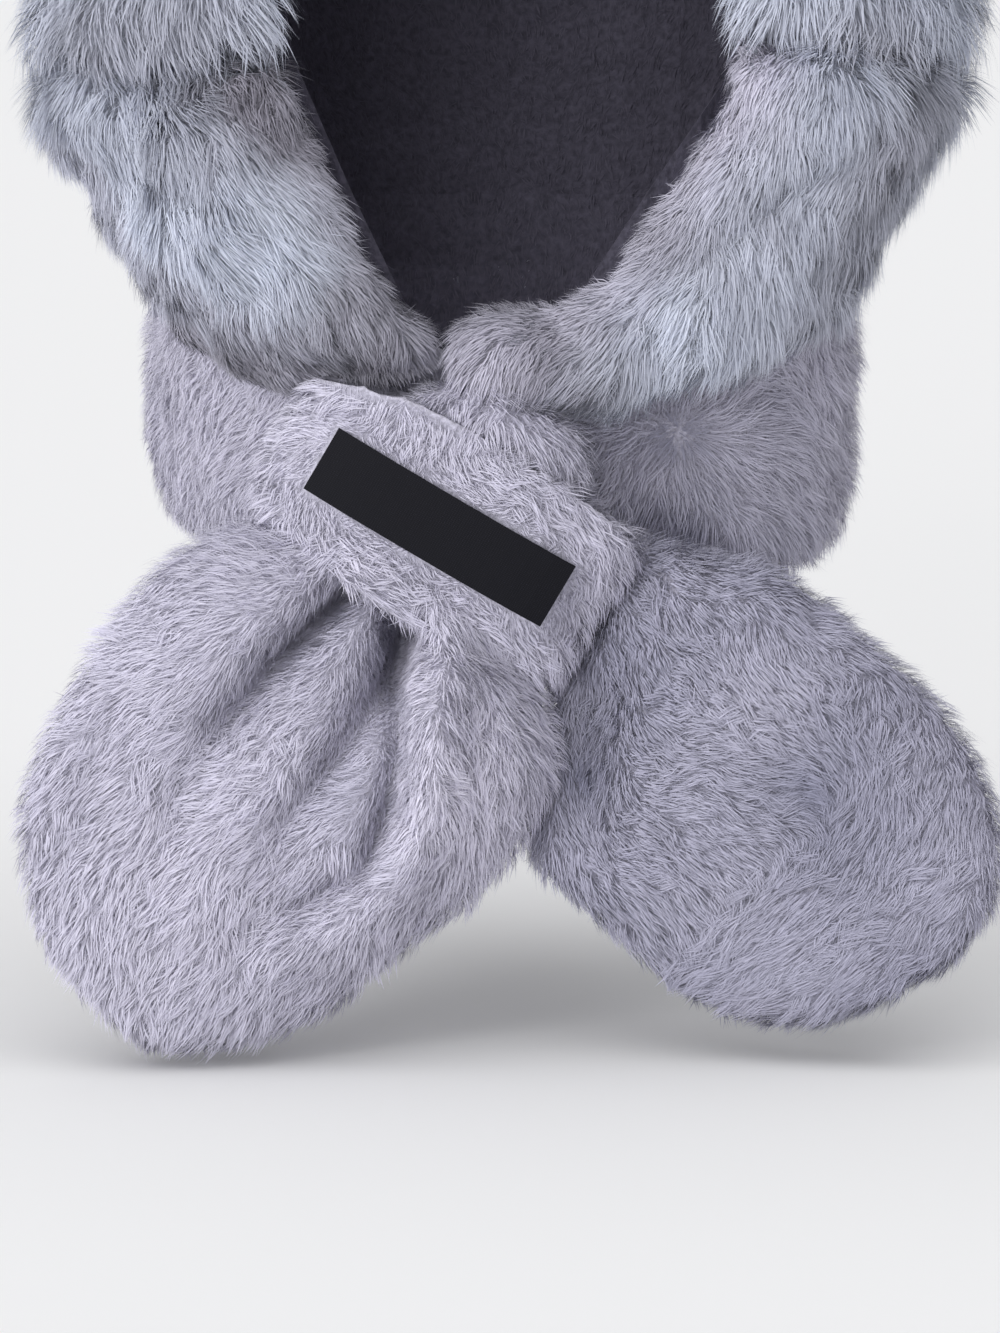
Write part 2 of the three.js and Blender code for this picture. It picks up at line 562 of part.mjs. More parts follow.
// The woven tag, bent round the front of the loop
function labelPlate() {
  const steps = 12;
  const longHalf = LOOP_LONG / 2 + CLEARANCE;
  const deepHalf = LOOP_DEEP / 2 + CLEARANCE;
  const rings = [];
  for (let k = 0; k <= steps; k++) {
    const along = LABEL_LONG * (k / steps - 0.5);
    const rise = (1 - Math.abs(along / longHalf) ** (1 / 0.4)) ** 0.4;
    const ring = [];
    for (const [side, out] of [[-1, 0], [1, 0], [1, 1], [-1, 1]]) {
      const corner = LOOP_MIDDLE.clone().addScaledVector(ALONG_LOOP, along);
      corner.addScaledVector(ALONG_STRAP, (side * LABEL_WIDE) / 2);
      ring.push(corner.addScaledVector(FORWARD, deepHalf * rise + out * LABEL_WALL));
    }
    rings.push(ring);
  }
  const centre = (ring) => ring[0].clone().add(ring[2]).multiplyScalar(0.5);
  return loft(rings, centre(rings[0]), centre(rings[steps]));
}

// One ear, standing on the crown and leaning outwards
function earForm(side) {
  const lean = THREE.MathUtils.degToRad(EAR_LEAN);
  const rootAside = EAR_ASIDE - Math.sin(lean) * EAR_SINK;
  const rings = EAR_ROWS.map((row) => {
    const ring = [];
    for (let k = 0; k < EAR_SIDES; k++) {
      const angle = (2 * Math.PI * k) / EAR_SIDES;
      const across = (row.wide * EAR_WIDE * Math.cos(angle)) / 2;
      const cup = 0.35 * EAR_THICK * row.up * (1 - Math.cos(angle) ** 2);
      const deep = (row.thick * EAR_THICK * Math.sin(angle)) / 2 + cup;
      const up = row.up * (EAR_TALL + EAR_SINK);
      const x = across * Math.cos(lean) + up * Math.sin(lean);
      const z = up * Math.cos(lean) - across * Math.sin(lean);
      ring.push(new THREE.Vector3(side * (rootAside + x), deep, z - EAR_SINK));
    }
    return ring;
  });
  const middle = (ring) => ring[0].clone().add(ring[EAR_SIDES / 2]).multiplyScalar(0.5);
  const top = middle(rings[rings.length - 1]);
  top.z += EAR_CROWN * EAR_TALL;
  return loft(rings, middle(rings[0]), top);
}

// Pieces, each cut clear of those that it lies on
const lap = faceCut(TRIM_LAP);
const hoodOuter = hoodForm(SHELL_OUT, 0);
const hoodClear = hoodForm(SHELL_OUT + CLEARANCE, CLEARANCE);
const shell = hoodOuter.subtract(hoodForm(SHELL_IN, 2)).subtract(lap);
const lining = hoodForm(LINING_WALL, 2 * CLEARANCE).subtract(hoodForm(0, 2))
  .add(neckLining()).subtract(lap);

const DOWN = new THREE.Vector3(0, 0, -1);
const leftTrimAt = (share) => trimSection(LEFT_TRIM_ROWS, -1, share);
const rightTrimAt = (share) => trimSection(RIGHT_TRIM_ROWS, 1, share);
const trimPlaces = [{ across: 0.9, count: 8 }, { across: 0.45, count: 7 }, { across: -0.1, count: 6 }];
const brimEnds = [{ across: 0.9, count: 3 }, { across: 0.45, count: 3 }, { across: 0, count: 3 },
  { across: -0.45, count: 3 }];

const union = (first, others) => others.reduce((sum, piece) => sum.add(piece), first);
const brimLocks = [
  ...furLocks(brimSection, brimEnds, 0, 0.14, DOWN),
  ...furLocks(brimSection, brimEnds, 0.86, 1, DOWN),
];
const brimFur = union(brimCore(0), brimLocks);
const brimClear = union(brimCore(CLEARANCE), brimLocks);
const brim = mainBody(brimFur.subtract(hoodClear));

const loop = loopBand(0);
const loopClear = loopBand(CLEARANCE);
const rightFur = union(trimCore(RIGHT_TRIM_ROWS, 1, 0),
  furLocks(rightTrimAt, trimPlaces, 0.2, 0.86, DOWN));
const leftFur = union(trimCore(LEFT_TRIM_ROWS, -1, 0),
  furLocks(leftTrimAt, trimPlaces, 0.2, 0.86, DOWN));
const rightClear = trimCore(RIGHT_TRIM_ROWS, 1, CLEARANCE);
const leftClear = trimCore(LEFT_TRIM_ROWS, -1, CLEARANCE);

const collarClear = collarForm(-CLEARANCE, CLEARANCE);
const endLeft = scarfEnd(LEFT_END_ROWS, LEFT_CREASES, 0);
const endLeftClear = scarfEnd(LEFT_END_ROWS, LEFT_CREASES, CLEARANCE);

const cutAway = (solid, ...others) => others.reduce((rest, other) => rest.subtract(other), solid);
const trimRight = mainBody(cutAway(rightFur, hoodClear, brimClear, loopClear, collarClear));
const trimLeft = mainBody(
  cutAway(leftFur, hoodClear, brimClear, loopClear, collarClear, rightClear));
const strapLeft = mainBody(cutAway(endLeft, loopClear, rightClear, leftClear, collarClear));
const endRight = mainBody(cutAway(scarfEnd(RIGHT_END_ROWS, RIGHT_CREASES, 0),
  loopClear, endLeftClear, collarClear));
const collar = mainBody(cutAway(collarForm(0, 0), collarForm(COLLAR_WALL, 1), lap, loopClear));
const ear = (side) => mainBody(cutAway(earForm(side), hoodClear, brimClear));

// Finishes
const plush = new THREE.MeshStandardMaterial({ color: 0xaaa8b8, roughness: 0.95, metalness: 0 });
const furTrim = new THREE.MeshStandardMaterial({ color: 0xa3aab8, roughness: 0.95, metalness: 0 });
const fleece = new THREE.MeshStandardMaterial({ color: 0x33323a, roughness: 1, metalness: 0 });
const tag = new THREE.MeshStandardMaterial({ color: 0x1e1e24, roughness: 0.8, metalness: 0 });

const hoodScarf = new THREE.Group();

function addPiece(name, solid, material) {
  const mesh = solid.getMesh();
  const geometry = new THREE.BufferGeometry();
  geometry.setAttribute('position', new THREE.BufferAttribute(mesh.vertProperties, mesh.numProp));
  geometry.setIndex(new THREE.BufferAttribute(mesh.triVerts, 1));
  const piece = new THREE.Mesh(geometry, material);
  piece.name = name;
  hoodScarf.add(piece);
}

addPiece('hood_shell', shell, plush);
addPiece('hood_lining', lining, fleece);
addPiece('brim', brim, furTrim);
addPiece('cheek_trim_left', trimLeft, furTrim);
addPiece('cheek_trim_right', trimRight, furTrim);
addPiece('neck_collar', collar, plush);
addPiece('scarf_end_left', strapLeft, plush);
addPiece('scarf_end_right', endRight, plush);
addPiece('keeper_loop', loop, plush);
addPiece('label', labelPlate(), tag);
addPiece('ear_left', ear(-1), plush);
addPiece('ear_right', ear(1), plush);

export default hoodScarf;
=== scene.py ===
"""Plush animal hood scarf: deep fur round the face, short pile on the scarf, dark fleece inside."""

import math
from collections import namedtuple

import bmesh
import bpy
import numpy as np
from bpy.props import FloatProperty, FloatVectorProperty, IntProperty, PointerProperty
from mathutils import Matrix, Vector
from mathutils.kdtree import KDTree


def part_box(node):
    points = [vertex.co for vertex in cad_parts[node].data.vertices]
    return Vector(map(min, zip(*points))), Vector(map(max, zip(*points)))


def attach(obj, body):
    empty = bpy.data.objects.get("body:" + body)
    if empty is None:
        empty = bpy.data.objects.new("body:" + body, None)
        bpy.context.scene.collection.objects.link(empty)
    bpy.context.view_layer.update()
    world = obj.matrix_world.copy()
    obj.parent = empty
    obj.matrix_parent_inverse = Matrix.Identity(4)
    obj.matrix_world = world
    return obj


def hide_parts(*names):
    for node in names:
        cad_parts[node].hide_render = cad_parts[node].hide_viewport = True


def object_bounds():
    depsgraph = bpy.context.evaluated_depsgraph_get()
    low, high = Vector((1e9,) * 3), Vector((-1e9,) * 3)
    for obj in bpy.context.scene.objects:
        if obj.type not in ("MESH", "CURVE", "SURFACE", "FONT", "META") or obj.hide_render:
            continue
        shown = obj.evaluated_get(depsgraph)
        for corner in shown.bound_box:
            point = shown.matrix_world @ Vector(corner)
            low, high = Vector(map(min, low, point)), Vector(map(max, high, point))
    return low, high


bl_info = {
    "name": "Plush hood scarf",
    "version": (1, 0, 0),
    "blender": (4, 5, 0),
    "location": "3D view > Sidebar > Hood scarf",
    "description": "Builds the pile, pads and label of a plush animal hood scarf",
    "category": "Object",
}

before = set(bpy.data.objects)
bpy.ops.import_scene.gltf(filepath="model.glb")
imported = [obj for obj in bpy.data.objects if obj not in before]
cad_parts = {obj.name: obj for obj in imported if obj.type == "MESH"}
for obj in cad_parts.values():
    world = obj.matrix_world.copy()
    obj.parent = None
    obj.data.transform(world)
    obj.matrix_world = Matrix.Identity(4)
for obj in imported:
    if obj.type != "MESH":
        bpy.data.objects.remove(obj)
CAD_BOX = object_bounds()
BODY = "root"

# The photograph: its size in pixels, and the camera that matches it
PHOTO_WIDE = 1000
PHOTO_HIGH = 1333
SENSOR = 36.0
LENS = 142.0
CAMERA_AIM = Vector((0.0, -0.110, -0.3427))
CAMERA_AWAY = 1.6
CAMERA_RISE = math.radians(8.0)
# Metres that one photo pixel spans at the camera's aim
PIXEL = SENSOR / LENS / PHOTO_HIGH * CAMERA_AWAY

# The stage: floor and studio light. Sun lamps have a name, how wide the sun is in degrees, a strength,
# and the place that they shine from
FLOOR_GAP = 0.004
FLOOR_HALF = 30.0
PAPER = (0.86, 0.86, 0.868)
STUDIO = (0.985, 0.99, 1.0)
STUDIO_POWER = 0.42
LAMPS = (
    ("sky", 90, 1.55, (-0.15, -0.25, 1.0)),
    ("front", 25, 1.0, (-0.22, -1.0, -0.10)),
    ("key", 20, 1.15, (-0.65, -0.75, -0.05)),
)
LAMP_AIM = Vector((0.0, -0.08, -0.25))

# How one kind of pile grows, in metres and degrees. A strand leaves the skin at its lift and bends to
# its rest. Clumps are this wide; they turn by the swirl, and the long strands gather to their middles.
# Under is the short fine pile: its share of all strands, and its length as a share of the long ones'.
# The last value is how dense the pile is behind, where skin faces back by more than FACES_BACK
Coat = namedtuple("Coat", "length width lift rest clump gather swirl under under_length thin_behind")
PLUSH = Coat(0.0100, 0.00037, 42, 14, 0.0042, 0.40, 26, 0.60, 0.75, 0.40)
DEEP = Coat(0.0180, 0.00042, 42, 12, 0.0060, 0.32, 18, 0.58, 0.75, 0.36)
FLEECE = Coat(0.0048, 0.00050, 14, 3, 0.0050, 0.40, 24, 0.50, 0.85, 1.00)
FACES_BACK = 0.25
HOOD_PLUSH = PLUSH._replace(length=0.0135, width=0.00085, thin_behind=1.00)
EAR_PLUSH = PLUSH._replace(width=0.00080, thin_behind=1.00)
NECK_PLUSH = PLUSH._replace(length=0.0125)
LOOP_PLUSH = PLUSH._replace(length=0.0110, lift=52, swirl=38, gather=0.46)

# How unlike its neighbours a strand lies: turned along the skin, and tilted off it. Lanes of pile
# this wide, in metres, turn together
LANE_WIDE = 0.034
LANE_RUFFLE = math.radians(15)
LONG_RUFFLE = math.radians(10)
UNDER_RUFFLE = math.radians(26)
CLUMP_RISE = math.radians(6)
STRAND_RISE = math.radians(8)
UNDER_RISE = math.radians(8)
UNDER_WIDTH = 0.85
# Roots by which the spacing of the clumps is judged
CLUMP_SAMPLE = 4000

# How one piece is built: size of its skin's faces, rounds of smoothing, how far the skin is drawn in
# to make room for the pile, how full it is (0 to 1), and its share of all strands. Metres
Build = namedtuple("Build", "grain rounds sink fill share")
HOOD = Build(0.0060, 6, 0.0035, 0.3, 0.105)
EAR = Build(0.0030, 4, 0.0045, 0.6, 0.024)
BRIM = Build(0.0042, 60, 0.0045, 0.5, 0.110)
CHEEK = Build(0.0036, 60, 0.0045, 0.5, 0.135)
NECK = Build(0.0048, 8, 0.0040, 0.4, 0.105)
LOOP = Build(0.0030, 4, 0.0033, 0.6, 0.078)
END = Build(0.0032, 10, 0.0030, 0.5, 0.160)
LINING_SHARE = 0.040
# Half the width of the lining's back that shows through the face opening
LINING_SEEN = 0.085
# Under the label the loop's skin is drawn in by this much, and beside it by its own sink more
LABEL_SINK = 0.0012

# Pressure of the filling, and the frames for which it swells a pad
EAR_PRESSURE = 3.0
END_PRESSURE = 4.0
SWELL_FRAMES = 12

# A round of smoothing moves each vertex in by the first share, and back out by the second.
# A skin drawn in to an outline is first melted down, then smoothed
SMOOTH_IN = 0.50
SMOOTH_OUT = -0.52
MELT_ROUNDS = 5
EASE_ROUNDS = 150
SAME_PLACE = 1e-6

# A strand's outline: a long one is a kite bent at its middle, a short one a spike.
# Each has its corners (share along it, side), its faces' corners and its places in the bake map
Blade = namedtuple("Blade", "along sides loops chart")
KITE = Blade((0.0, 0.5, 0.5, 1.0), (0, -1, 1, 0), (0, 2, 1, 1, 2, 3),
             ((0.5, 0.06), (0.08, 0.5), (0.92, 0.5), (0.5, 0.94)))
SPIKE = Blade((0.0, 0.0, 1.0), (-1, 1, 0), (0, 1, 2),
              ((0.1, 0.08), (0.9, 0.08), (0.5, 0.92)))
# Many strands: their places and directions, then what their material reads from each
Strands = namedtuple("Strands", "root middle tip normal width shade own tint mild")
# The same strands as a mesh: what each corner has, then the faces' corners and bake places
Corners = namedtuple("Corners", "places shading pile tint mild loops chart")

# Way that the pile lies round a place in the photograph. Toward: 0 is to the viewer's right, 90 up
Guide = namedtuple("Guide", "px py toward")

BRIM_FLOW = (
    Guide(35, 20, 278), Guide(110, 20, 262), Guide(180, 30, 284), Guide(255, 25, 292),
    Guide(740, 20, 250), Guide(800, 40, 262), Guide(870, 30, 276), Guide(960, 40, 262),
)
LEFT_TRIM_FLOW = (
    Guide(50, 90, 284), Guide(95, 170, 304), Guide(120, 240, 292), Guide(150, 150, 282),
    Guide(200, 120, 292), Guide(300, 110, 300), Guide(330, 190, 318), Guide(290, 245, 322),
    Guide(235, 280, 305), Guide(170, 210, 285), Guide(205, 330, 322), Guide(330, 300, 300),
    Guide(400, 310, 290), Guide(150, 310, 312), Guide(380, 250, 300), Guide(240, 190, 318),
)
RIGHT_TRIM_FLOW = (
    Guide(730, 110, 228), Guide(690, 170, 232), Guide(800, 110, 262), Guide(820, 170, 250),
    Guide(890, 190, 252), Guide(930, 110, 285), Guide(760, 240, 290), Guide(740, 300, 255),
    Guide(640, 270, 225), Guide(660, 350, 250), Guide(560, 330, 215), Guide(500, 380, 240),
    Guide(840, 290, 256), Guide(965, 60, 254), Guide(925, 150, 240), Guide(885, 205, 234),
)
COLLAR_FLOW = (
    Guide(150, 380, 262), Guide(170, 480, 255), Guide(250, 440, 235), Guide(660, 410, 120),
    Guide(640, 445, 190), Guide(690, 470, 290), Guide(720, 420, 20), Guide(780, 400, 320),
    Guide(760, 490, 300), Guide(840, 380, 285), Guide(840, 480, 275), Guide(700, 540, 270),
)
LOOP_FLOW = (
    Guide(330, 400, 215), Guide(430, 410, 250), Guide(520, 440, 300), Guide(600, 480, 320),
    Guide(620, 560, 285), Guide(600, 640, 262), Guide(560, 690, 245), Guide(300, 500, 235),
    Guide(340, 540, 330), Guide(430, 610, 332), Guide(520, 660, 305), Guide(480, 500, 330),
)
LEFT_END_FLOW = (
    Guide(250, 530, 200), Guide(150, 620, 206), Guide(60, 730, 236), Guide(150, 760, 218),
    Guide(265, 720, 216), Guide(330, 640, 232), Guide(250, 860, 224), Guide(90, 880, 254),
    Guide(150, 990, 246), Guide(280, 980, 226), Guide(330, 840, 222), Guide(450, 700, 264),
    Guide(505, 770, 254), Guide(430, 870, 238), Guide(370, 960, 228), Guide(480, 660, 272),
    Guide(370, 720, 236),
)
RIGHT_END_FLOW = (
    Guide(680, 600, 322), Guide(745, 686, 316), Guide(828, 636, 300), Guide(895, 686, 282),
    Guide(950, 760, 262), Guide(646, 736, 344), Guide(696, 802, 356), Guide(620, 850, 350),
    Guide(650, 920, 345), Guide(812, 885, 226), Guide(895, 835, 236), Guide(950, 900, 236),
    Guide(812, 984, 204), Guide(712, 984, 200), Guide(556, 800, 256), Guide(770, 780, 340),
    Guide(570, 720, 262), Guide(890, 960, 215),
)

# A fold pressed into the front of a pad. Path: photograph points. Depth, width and lip in metres;
# the lip is how far the pad stands out on the path's left-hand side (minus: on its right-hand side)
Fold = namedtuple("Fold", "path depth width lip")
# The lip's middle and width, in fold widths
LIP_AT = 1.6
LIP_WIDE = 2.2
# In folds deeper than this, in metres, the pile of the ends loses this share of its length
DEEP_FOLD = 0.008
PRESSED = 0.65

LEFT_END_FOLDS = (
    Fold(((352, 588), (310, 628), (264, 676), (222, 722)), 0.023, 0.0052, -0.0050),
    Fold(((400, 622), (396, 655), (382, 690), (362, 730), (328, 778), (292, 818)),
         0.020, 0.0070, 0.0),
    Fold(((410, 640), (400, 690), (402, 748), (394, 806), (372, 866), (305, 912)),
         0.019, 0.0050, 0.0115),
    Fold(((126, 705), (101, 752), (97, 805), (84, 862)), 0.0045, 0.0055, 0.0),
    Fold(((188, 800), (176, 834), (160, 868)), 0.0035, 0.0080, 0.0),
    Fold(((470, 700), (472, 730), (462, 770)), 0.0030, 0.0050, 0.0),
)
RIGHT_END_FOLDS = (
    Fold(((596, 690), (588, 760), (586, 830), (588, 880)), 0.0060, 0.0070, -0.0015),
    Fold(((640, 580), (660, 620), (700, 640)), 0.0050, 0.0080, 0.0),
    Fold(((800, 800), (850, 830), (905, 850), (950, 845)), 0.0055, 0.0150, 0.0),
    Fold(((600, 930), (650, 950), (700, 960)), 0.0025, 0.0070, 0.0),
)
COLLAR_FOLDS = (
    Fold(((705, 452), (735, 466), (775, 470)), 0.0040, 0.0070, 0.0),
    Fold(((664, 462), (650, 485), (640, 510)), 0.0040, 0.0070, 0.0),
    Fold(((800, 430), (790, 480), (800, 530)), 0.0030, 0.0090, 0.0),
    Fold(((640, 520), (690, 545), (750, 562)), 0.0100, 0.0060, 0.0),
    Fold(((205, 400), (225, 450), (250, 480)), 0.0030, 0.0080, 0.0),
)
LOOP_FOLDS = (
    Fold(((560, 560), (580, 600), (575, 650)), 0.0022, 0.0060, 0.0),
    Fold(((330, 410), (350, 395), (380, 400)), 0.0020, 0.0060, 0.0),
)
LEFT_TRIM_FOLDS = (
    Fold(((112, 218), (150, 272), (205, 318), (270, 345), (335, 352)), 0.0085, 0.0050, 0.0),
    Fold(((128, 280), (170, 335), (230, 380), (300, 405)), 0.0060, 0.0040, 0.0),
    Fold(((150, 80), (200, 100), (245, 92), (290, 62)), 0.0150, 0.0070, 0.0),
    Fold(((130, 150), (190, 190), (240, 215)), 0.0050, 0.0070, 0.0),
    Fold(((310, 362), (365, 360), (430, 356)), 0.0120, 0.0050, 0.0),
)
RIGHT_TRIM_FOLDS = (
    Fold(((640, 300), (660, 340), (640, 372)), 0.0040, 0.0060, 0.0),
    Fold(((700, 190), (730, 230), (740, 260)), 0.0035, 0.0080, 0.0),
    Fold(((560, 320), (590, 345), (600, 380)), 0.0035, 0.0060, 0.0),
)

# A place where a pad stands out further. Photograph point, then radius and height in metres
Puff = namedtuple("Puff", "px py radius height")
LEFT_END_PUFFS = (
    Puff(480, 425, 0.016, 0.0080), Puff(545, 445, 0.016, 0.0100), Puff(600, 480, 0.014, 0.0080),
    Puff(528, 745, 0.022, 0.0060), Puff(458, 770, 0.024, 0.0085), Puff(450, 690, 0.014, 0.0050),
    Puff(370, 625, 0.008, 0.0030), Puff(240, 600, 0.020, 0.0045),
)
RIGHT_END_PUFFS = (
    Puff(548, 750, 0.020, 0.0055), Puff(640, 600, 0.016, 0.0030), Puff(770, 600, 0.018, 0.0080),
    Puff(700, 580, 0.016, 0.0060),
)
COLLAR_PUFFS = (Puff(775, 552, 0.020, 0.0090), Puff(710, 545, 0.016, 0.0065))
LOOP_PUFFS = (
    Puff(622, 560, 0.012, 0.0025), Puff(545, 450, 0.014, 0.0040), Puff(560, 680, 0.012, 0.0025),
)
LEFT_TRIM_PUFFS = (Puff(100, 95, 0.012, 0.0060),)
RIGHT_TRIM_PUFFS = (
    Puff(470, 345, 0.014, 0.0060), Puff(520, 355, 0.014, 0.0050), Puff(790, 90, 0.014, 0.0070),
    Puff(860, 90, 0.014, 0.0065),
)
BRIM_PUFFS = (
    Puff(60, 70, 0.018, 0.0050), Puff(130, 70, 0.014, 0.0040), Puff(940, 60, 0.018, 0.0050),
    Puff(860, 55, 0.014, 0.0040),
)

# Star that the pile forms on the neck
NECK_BURST = Puff(678, 432, 0.024, 0.0)

# Outer outlines of the fur rolls in the photograph, less the fur's own height
LEFT_TRIM_OUTLINE = ((20, -40), (34, 20), (62, 125), (112, 190), (136, 245), (150, 292), (200, 360),
                     (285, 392), (430, 372), (470, 340))
RIGHT_TRIM_OUTLINE = ((430, 350), (470, 385), (560, 385), (640, 372), (740, 345), (800, 310),
                      (852, 262), (862, 222), (890, 185), (930, 122), (956, 56), (975, -40))
BRIM_OUTLINES = (
    ((20, -60), (26, 30), (52, 84), (100, 88), (150, 66), (235, 58), (262, 42), (300, 28)),
    ((684, 0), (735, 54), (790, 62), (840, 84), (930, 92), (962, 40), (975, -60)),
)
# Top of the left roll, where it goes under the brim
LEFT_TRIM_TOP = ((322, 108), (302, 80), (275, 70), (230, 60), (150, 40), (60, -20))
# Furthest that a tuft of the solid stands past its outline, in metres
TUFT_REACH = 0.026

# Edges of the face opening in the photograph, down the left and up the right
LEFT_FACE_EDGE = ((335, 60), (350, 130), (385, 210), (410, 280), (440, 320))
RIGHT_FACE_EDGE = ((520, 300), (575, 275), (600, 260), (650, 190), (700, 120), (740, 60))
FACE_EDGE = ((300, -120), (300, 40), *LEFT_FACE_EDGE, *RIGHT_FACE_EDGE, (684, 0), (684, -120))
FACE_TOP = -110
# The hood's rim lies this far back and aside of the opening's edge, fading over its reach.
# No pile grows on it nearer to the edge than the bare width
RIM_TUCK = 0.012
RIM_SPREAD = 0.004
RIM_REACH = 0.014
RIM_BARE = 0.016

# Painted shade: the pile's colour darkened round a place, in creases, hollows and where a part is
# turned from the light, and painted light where the amount is below 0.
# Photograph point, radius in metres, amount
Shade = namedtuple("Shade", "px py radius amount")
# Painted shade in the left end's creases and hollows, painted light on its lobes
LEFT_END_PAINTED_SHADE = (
    Shade(460, 765, 0.018, -0.55), Shade(440, 685, 0.012, -0.45), Shade(455, 835, 0.014, -0.35),
    Shade(345, 800, 0.013, 0.40), Shade(394, 640, 0.006, 1.20), Shade(345, 606, 0.005, 0.90),
    Shade(300, 648, 0.006, 0.45), Shade(384, 690, 0.006, 0.60), Shade(410, 700, 0.004, 0.50),
    Shade(200, 930, 0.030, -0.16), Shade(300, 870, 0.010, 0.25), Shade(402, 750, 0.004, 0.60),
    Shade(394, 800, 0.004, 0.50), Shade(374, 850, 0.004, 0.40),
)
# Painted shade in the right end's dent and beside the loop, painted light lower down
RIGHT_END_PAINTED_SHADE = (
    Shade(850, 812, 0.024, 0.34), Shade(795, 792, 0.010, 0.35), Shade(590, 770, 0.008, 0.50),
    Shade(610, 640, 0.012, 0.35), Shade(700, 890, 0.024, -0.16), Shade(750, 680, 0.016, -0.20),
)
# Painted shade at the neck's star, its hem and its folds
COLLAR_PAINTED_SHADE = (
    Shade(677, 433, 0.005, 1.20), Shade(690, 545, 0.009, 1.00), Shade(640, 505, 0.008, 0.60),
    Shade(760, 530, 0.012, 0.30), Shade(800, 440, 0.008, 0.20), Shade(580, 405, 0.010, 0.60),
    Shade(690, 512, 0.010, 0.50), Shade(636, 436, 0.008, 0.35), Shade(760, 400, 0.008, 0.25),
)
# Painted light on the loop's lower edge, painted shade at its right end
LOOP_PAINTED_SHADE = (
    Shade(355, 560, 0.012, -0.50), Shade(450, 625, 0.012, -0.30), Shade(640, 560, 0.010, 0.30),
)
# Painted shade in the hollow under the brim and low on the left roll, painted light on its middle
LEFT_TRIM_PAINTED_SHADE = (
    Shade(290, 108, 0.012, 1.30), Shade(235, 92, 0.009, 0.90), Shade(185, 90, 0.008, 0.50),
    Shade(150, 205, 0.012, -0.50), Shade(260, 250, 0.016, -0.40), Shade(370, 352, 0.010, 0.90),
    Shade(240, 345, 0.012, 0.40), Shade(320, 300, 0.014, 0.60), Shade(340, 160, 0.010, 0.40),
)
# Painted shade and painted light on the right roll
RIGHT_TRIM_PAINTED_SHADE = (
    Shade(770, 200, 0.010, 0.45), Shade(700, 250, 0.012, 0.35), Shade(640, 300, 0.014, -0.35),
    Shade(780, 120, 0.010, 0.30), Shade(700, 330, 0.012, -0.20), Shade(600, 380, 0.008, 0.50),
    Shade(650, 215, 0.012, 0.35), Shade(694, 150, 0.010, 0.30),
)

# Where the right roll's fur has the plush's colour instead of its own
RIGHT_TRIM_LAVENDER = (Shade(480, 360, 0.018, 1.00), Shade(540, 350, 0.014, 0.60))

# Painted shade on the brim's fur
BRIM_PAINTED_SHADE = (
    Shade(90, 20, 0.014, 0.40), Shade(200, 30, 0.014, 0.30), Shade(880, 30, 0.016, 0.35),
    Shade(740, 20, 0.014, 0.20),
)

# Lower edge of the left cheek's deep fur; below it the roll is short and smooth
LEFT_TRIM_HEM = ((60, 150), (112, 222), (150, 275), (205, 318), (270, 343), (335, 352), (440, 350))

# Fur's length as a share of the full one: below that hem and at the face opening, and in a band
# this wide, in metres, above the hem
SHEARED = 0.42
HEM_LENGTH = 0.75
HEM_WIDE = 0.012

# Colours as shares of the settings' colours: the plush in painted shade, the deep fur in painted
# shade (and how far past that a strand's share may go), the fleece's nap, and the knitted backings,
# kept a little darker than the pile's tips as painted shade down among the strands
PLUSH_PAINTED_SHADE = (0.64, 0.65, 0.69)
FUR_IN_SHADE = 0.49
MOST_MIX_SHARE = 1.1
FLEECE_NAP = 1.10
PLUSH_KNIT = 0.80
FUR_KNIT = 0.76


class HoodScarfSettings(bpy.types.PropertyGroup):
    """What a user would change about the finish of the hood scarf"""

    plush_colour: FloatVectorProperty(
        name="Plush", description="Colour of the short pile at its tips", subtype="COLOR",
        size=3, min=0.0, max=1.0, default=(0.600, 0.583, 0.700))
    fur_colour: FloatVectorProperty(
        name="Deep fur", description="Colour of the fur round the face at its tips",
        subtype="COLOR", size=3, min=0.0, max=1.0, default=(0.540, 0.566, 0.668))
    fleece_colour: FloatVectorProperty(
        name="Fleece", description="Colour of the lining", subtype="COLOR",
        size=3, min=0.0, max=1.0, default=(0.108, 0.101, 0.138))
    tag_colour: FloatVectorProperty(
        name="Tag", description="Colour of the woven tag", subtype="COLOR",
        size=3, min=0.0, max=1.0, default=(0.0080, 0.0080, 0.0115))
    pile_scale: FloatProperty(
        name="Pile length", description="Length of the short pile, as a share of the real one",
        subtype="FACTOR", min=0.3, max=1.5, default=1.0)
    fur_scale: FloatProperty(
        name="Fur length", description="Length of the deep fur, as a share of the real one",
        subtype="FACTOR", min=0.3, max=1.5, default=1.0)
    strands: IntProperty(
        name="Strands", description="Strands of all pieces together, in thousands",
        min=10, max=560, default=540)
    swell: FloatProperty(
        name="Swell", description="Furthest that the filling may push a pad out",
        unit="LENGTH", min=0.0, max=0.01, default=0.0035)


def settings():
    return bpy.context.scene.hood_scarf


# The camera, and places in the photograph

def camera_axes():
    """Back, right and up of the camera that matches the photograph, and its place."""
    back = Vector((0.0, -math.cos(CAMERA_RISE), math.sin(CAMERA_RISE)))
    right = Vector((1.0, 0.0, 0.0))
    return back, right, back.cross(right), CAMERA_AIM + back * CAMERA_AWAY


def photo_places(points):
    """Where these points, N x 3 in metres, show in the photograph, N x 2 in its pixels."""
    back, right, up, place = camera_axes()
    offset = points - np.array(place)
    depth = -(offset @ np.array(back))
    scale = LENS / SENSOR * PHOTO_HIGH / depth
    px = PHOTO_WIDE / 2 + scale * (offset @ np.array(right))
    py = PHOTO_HIGH / 2 - scale * (offset @ np.array(up))
    return np.stack([px, py], 1)


# Arrays of a mesh

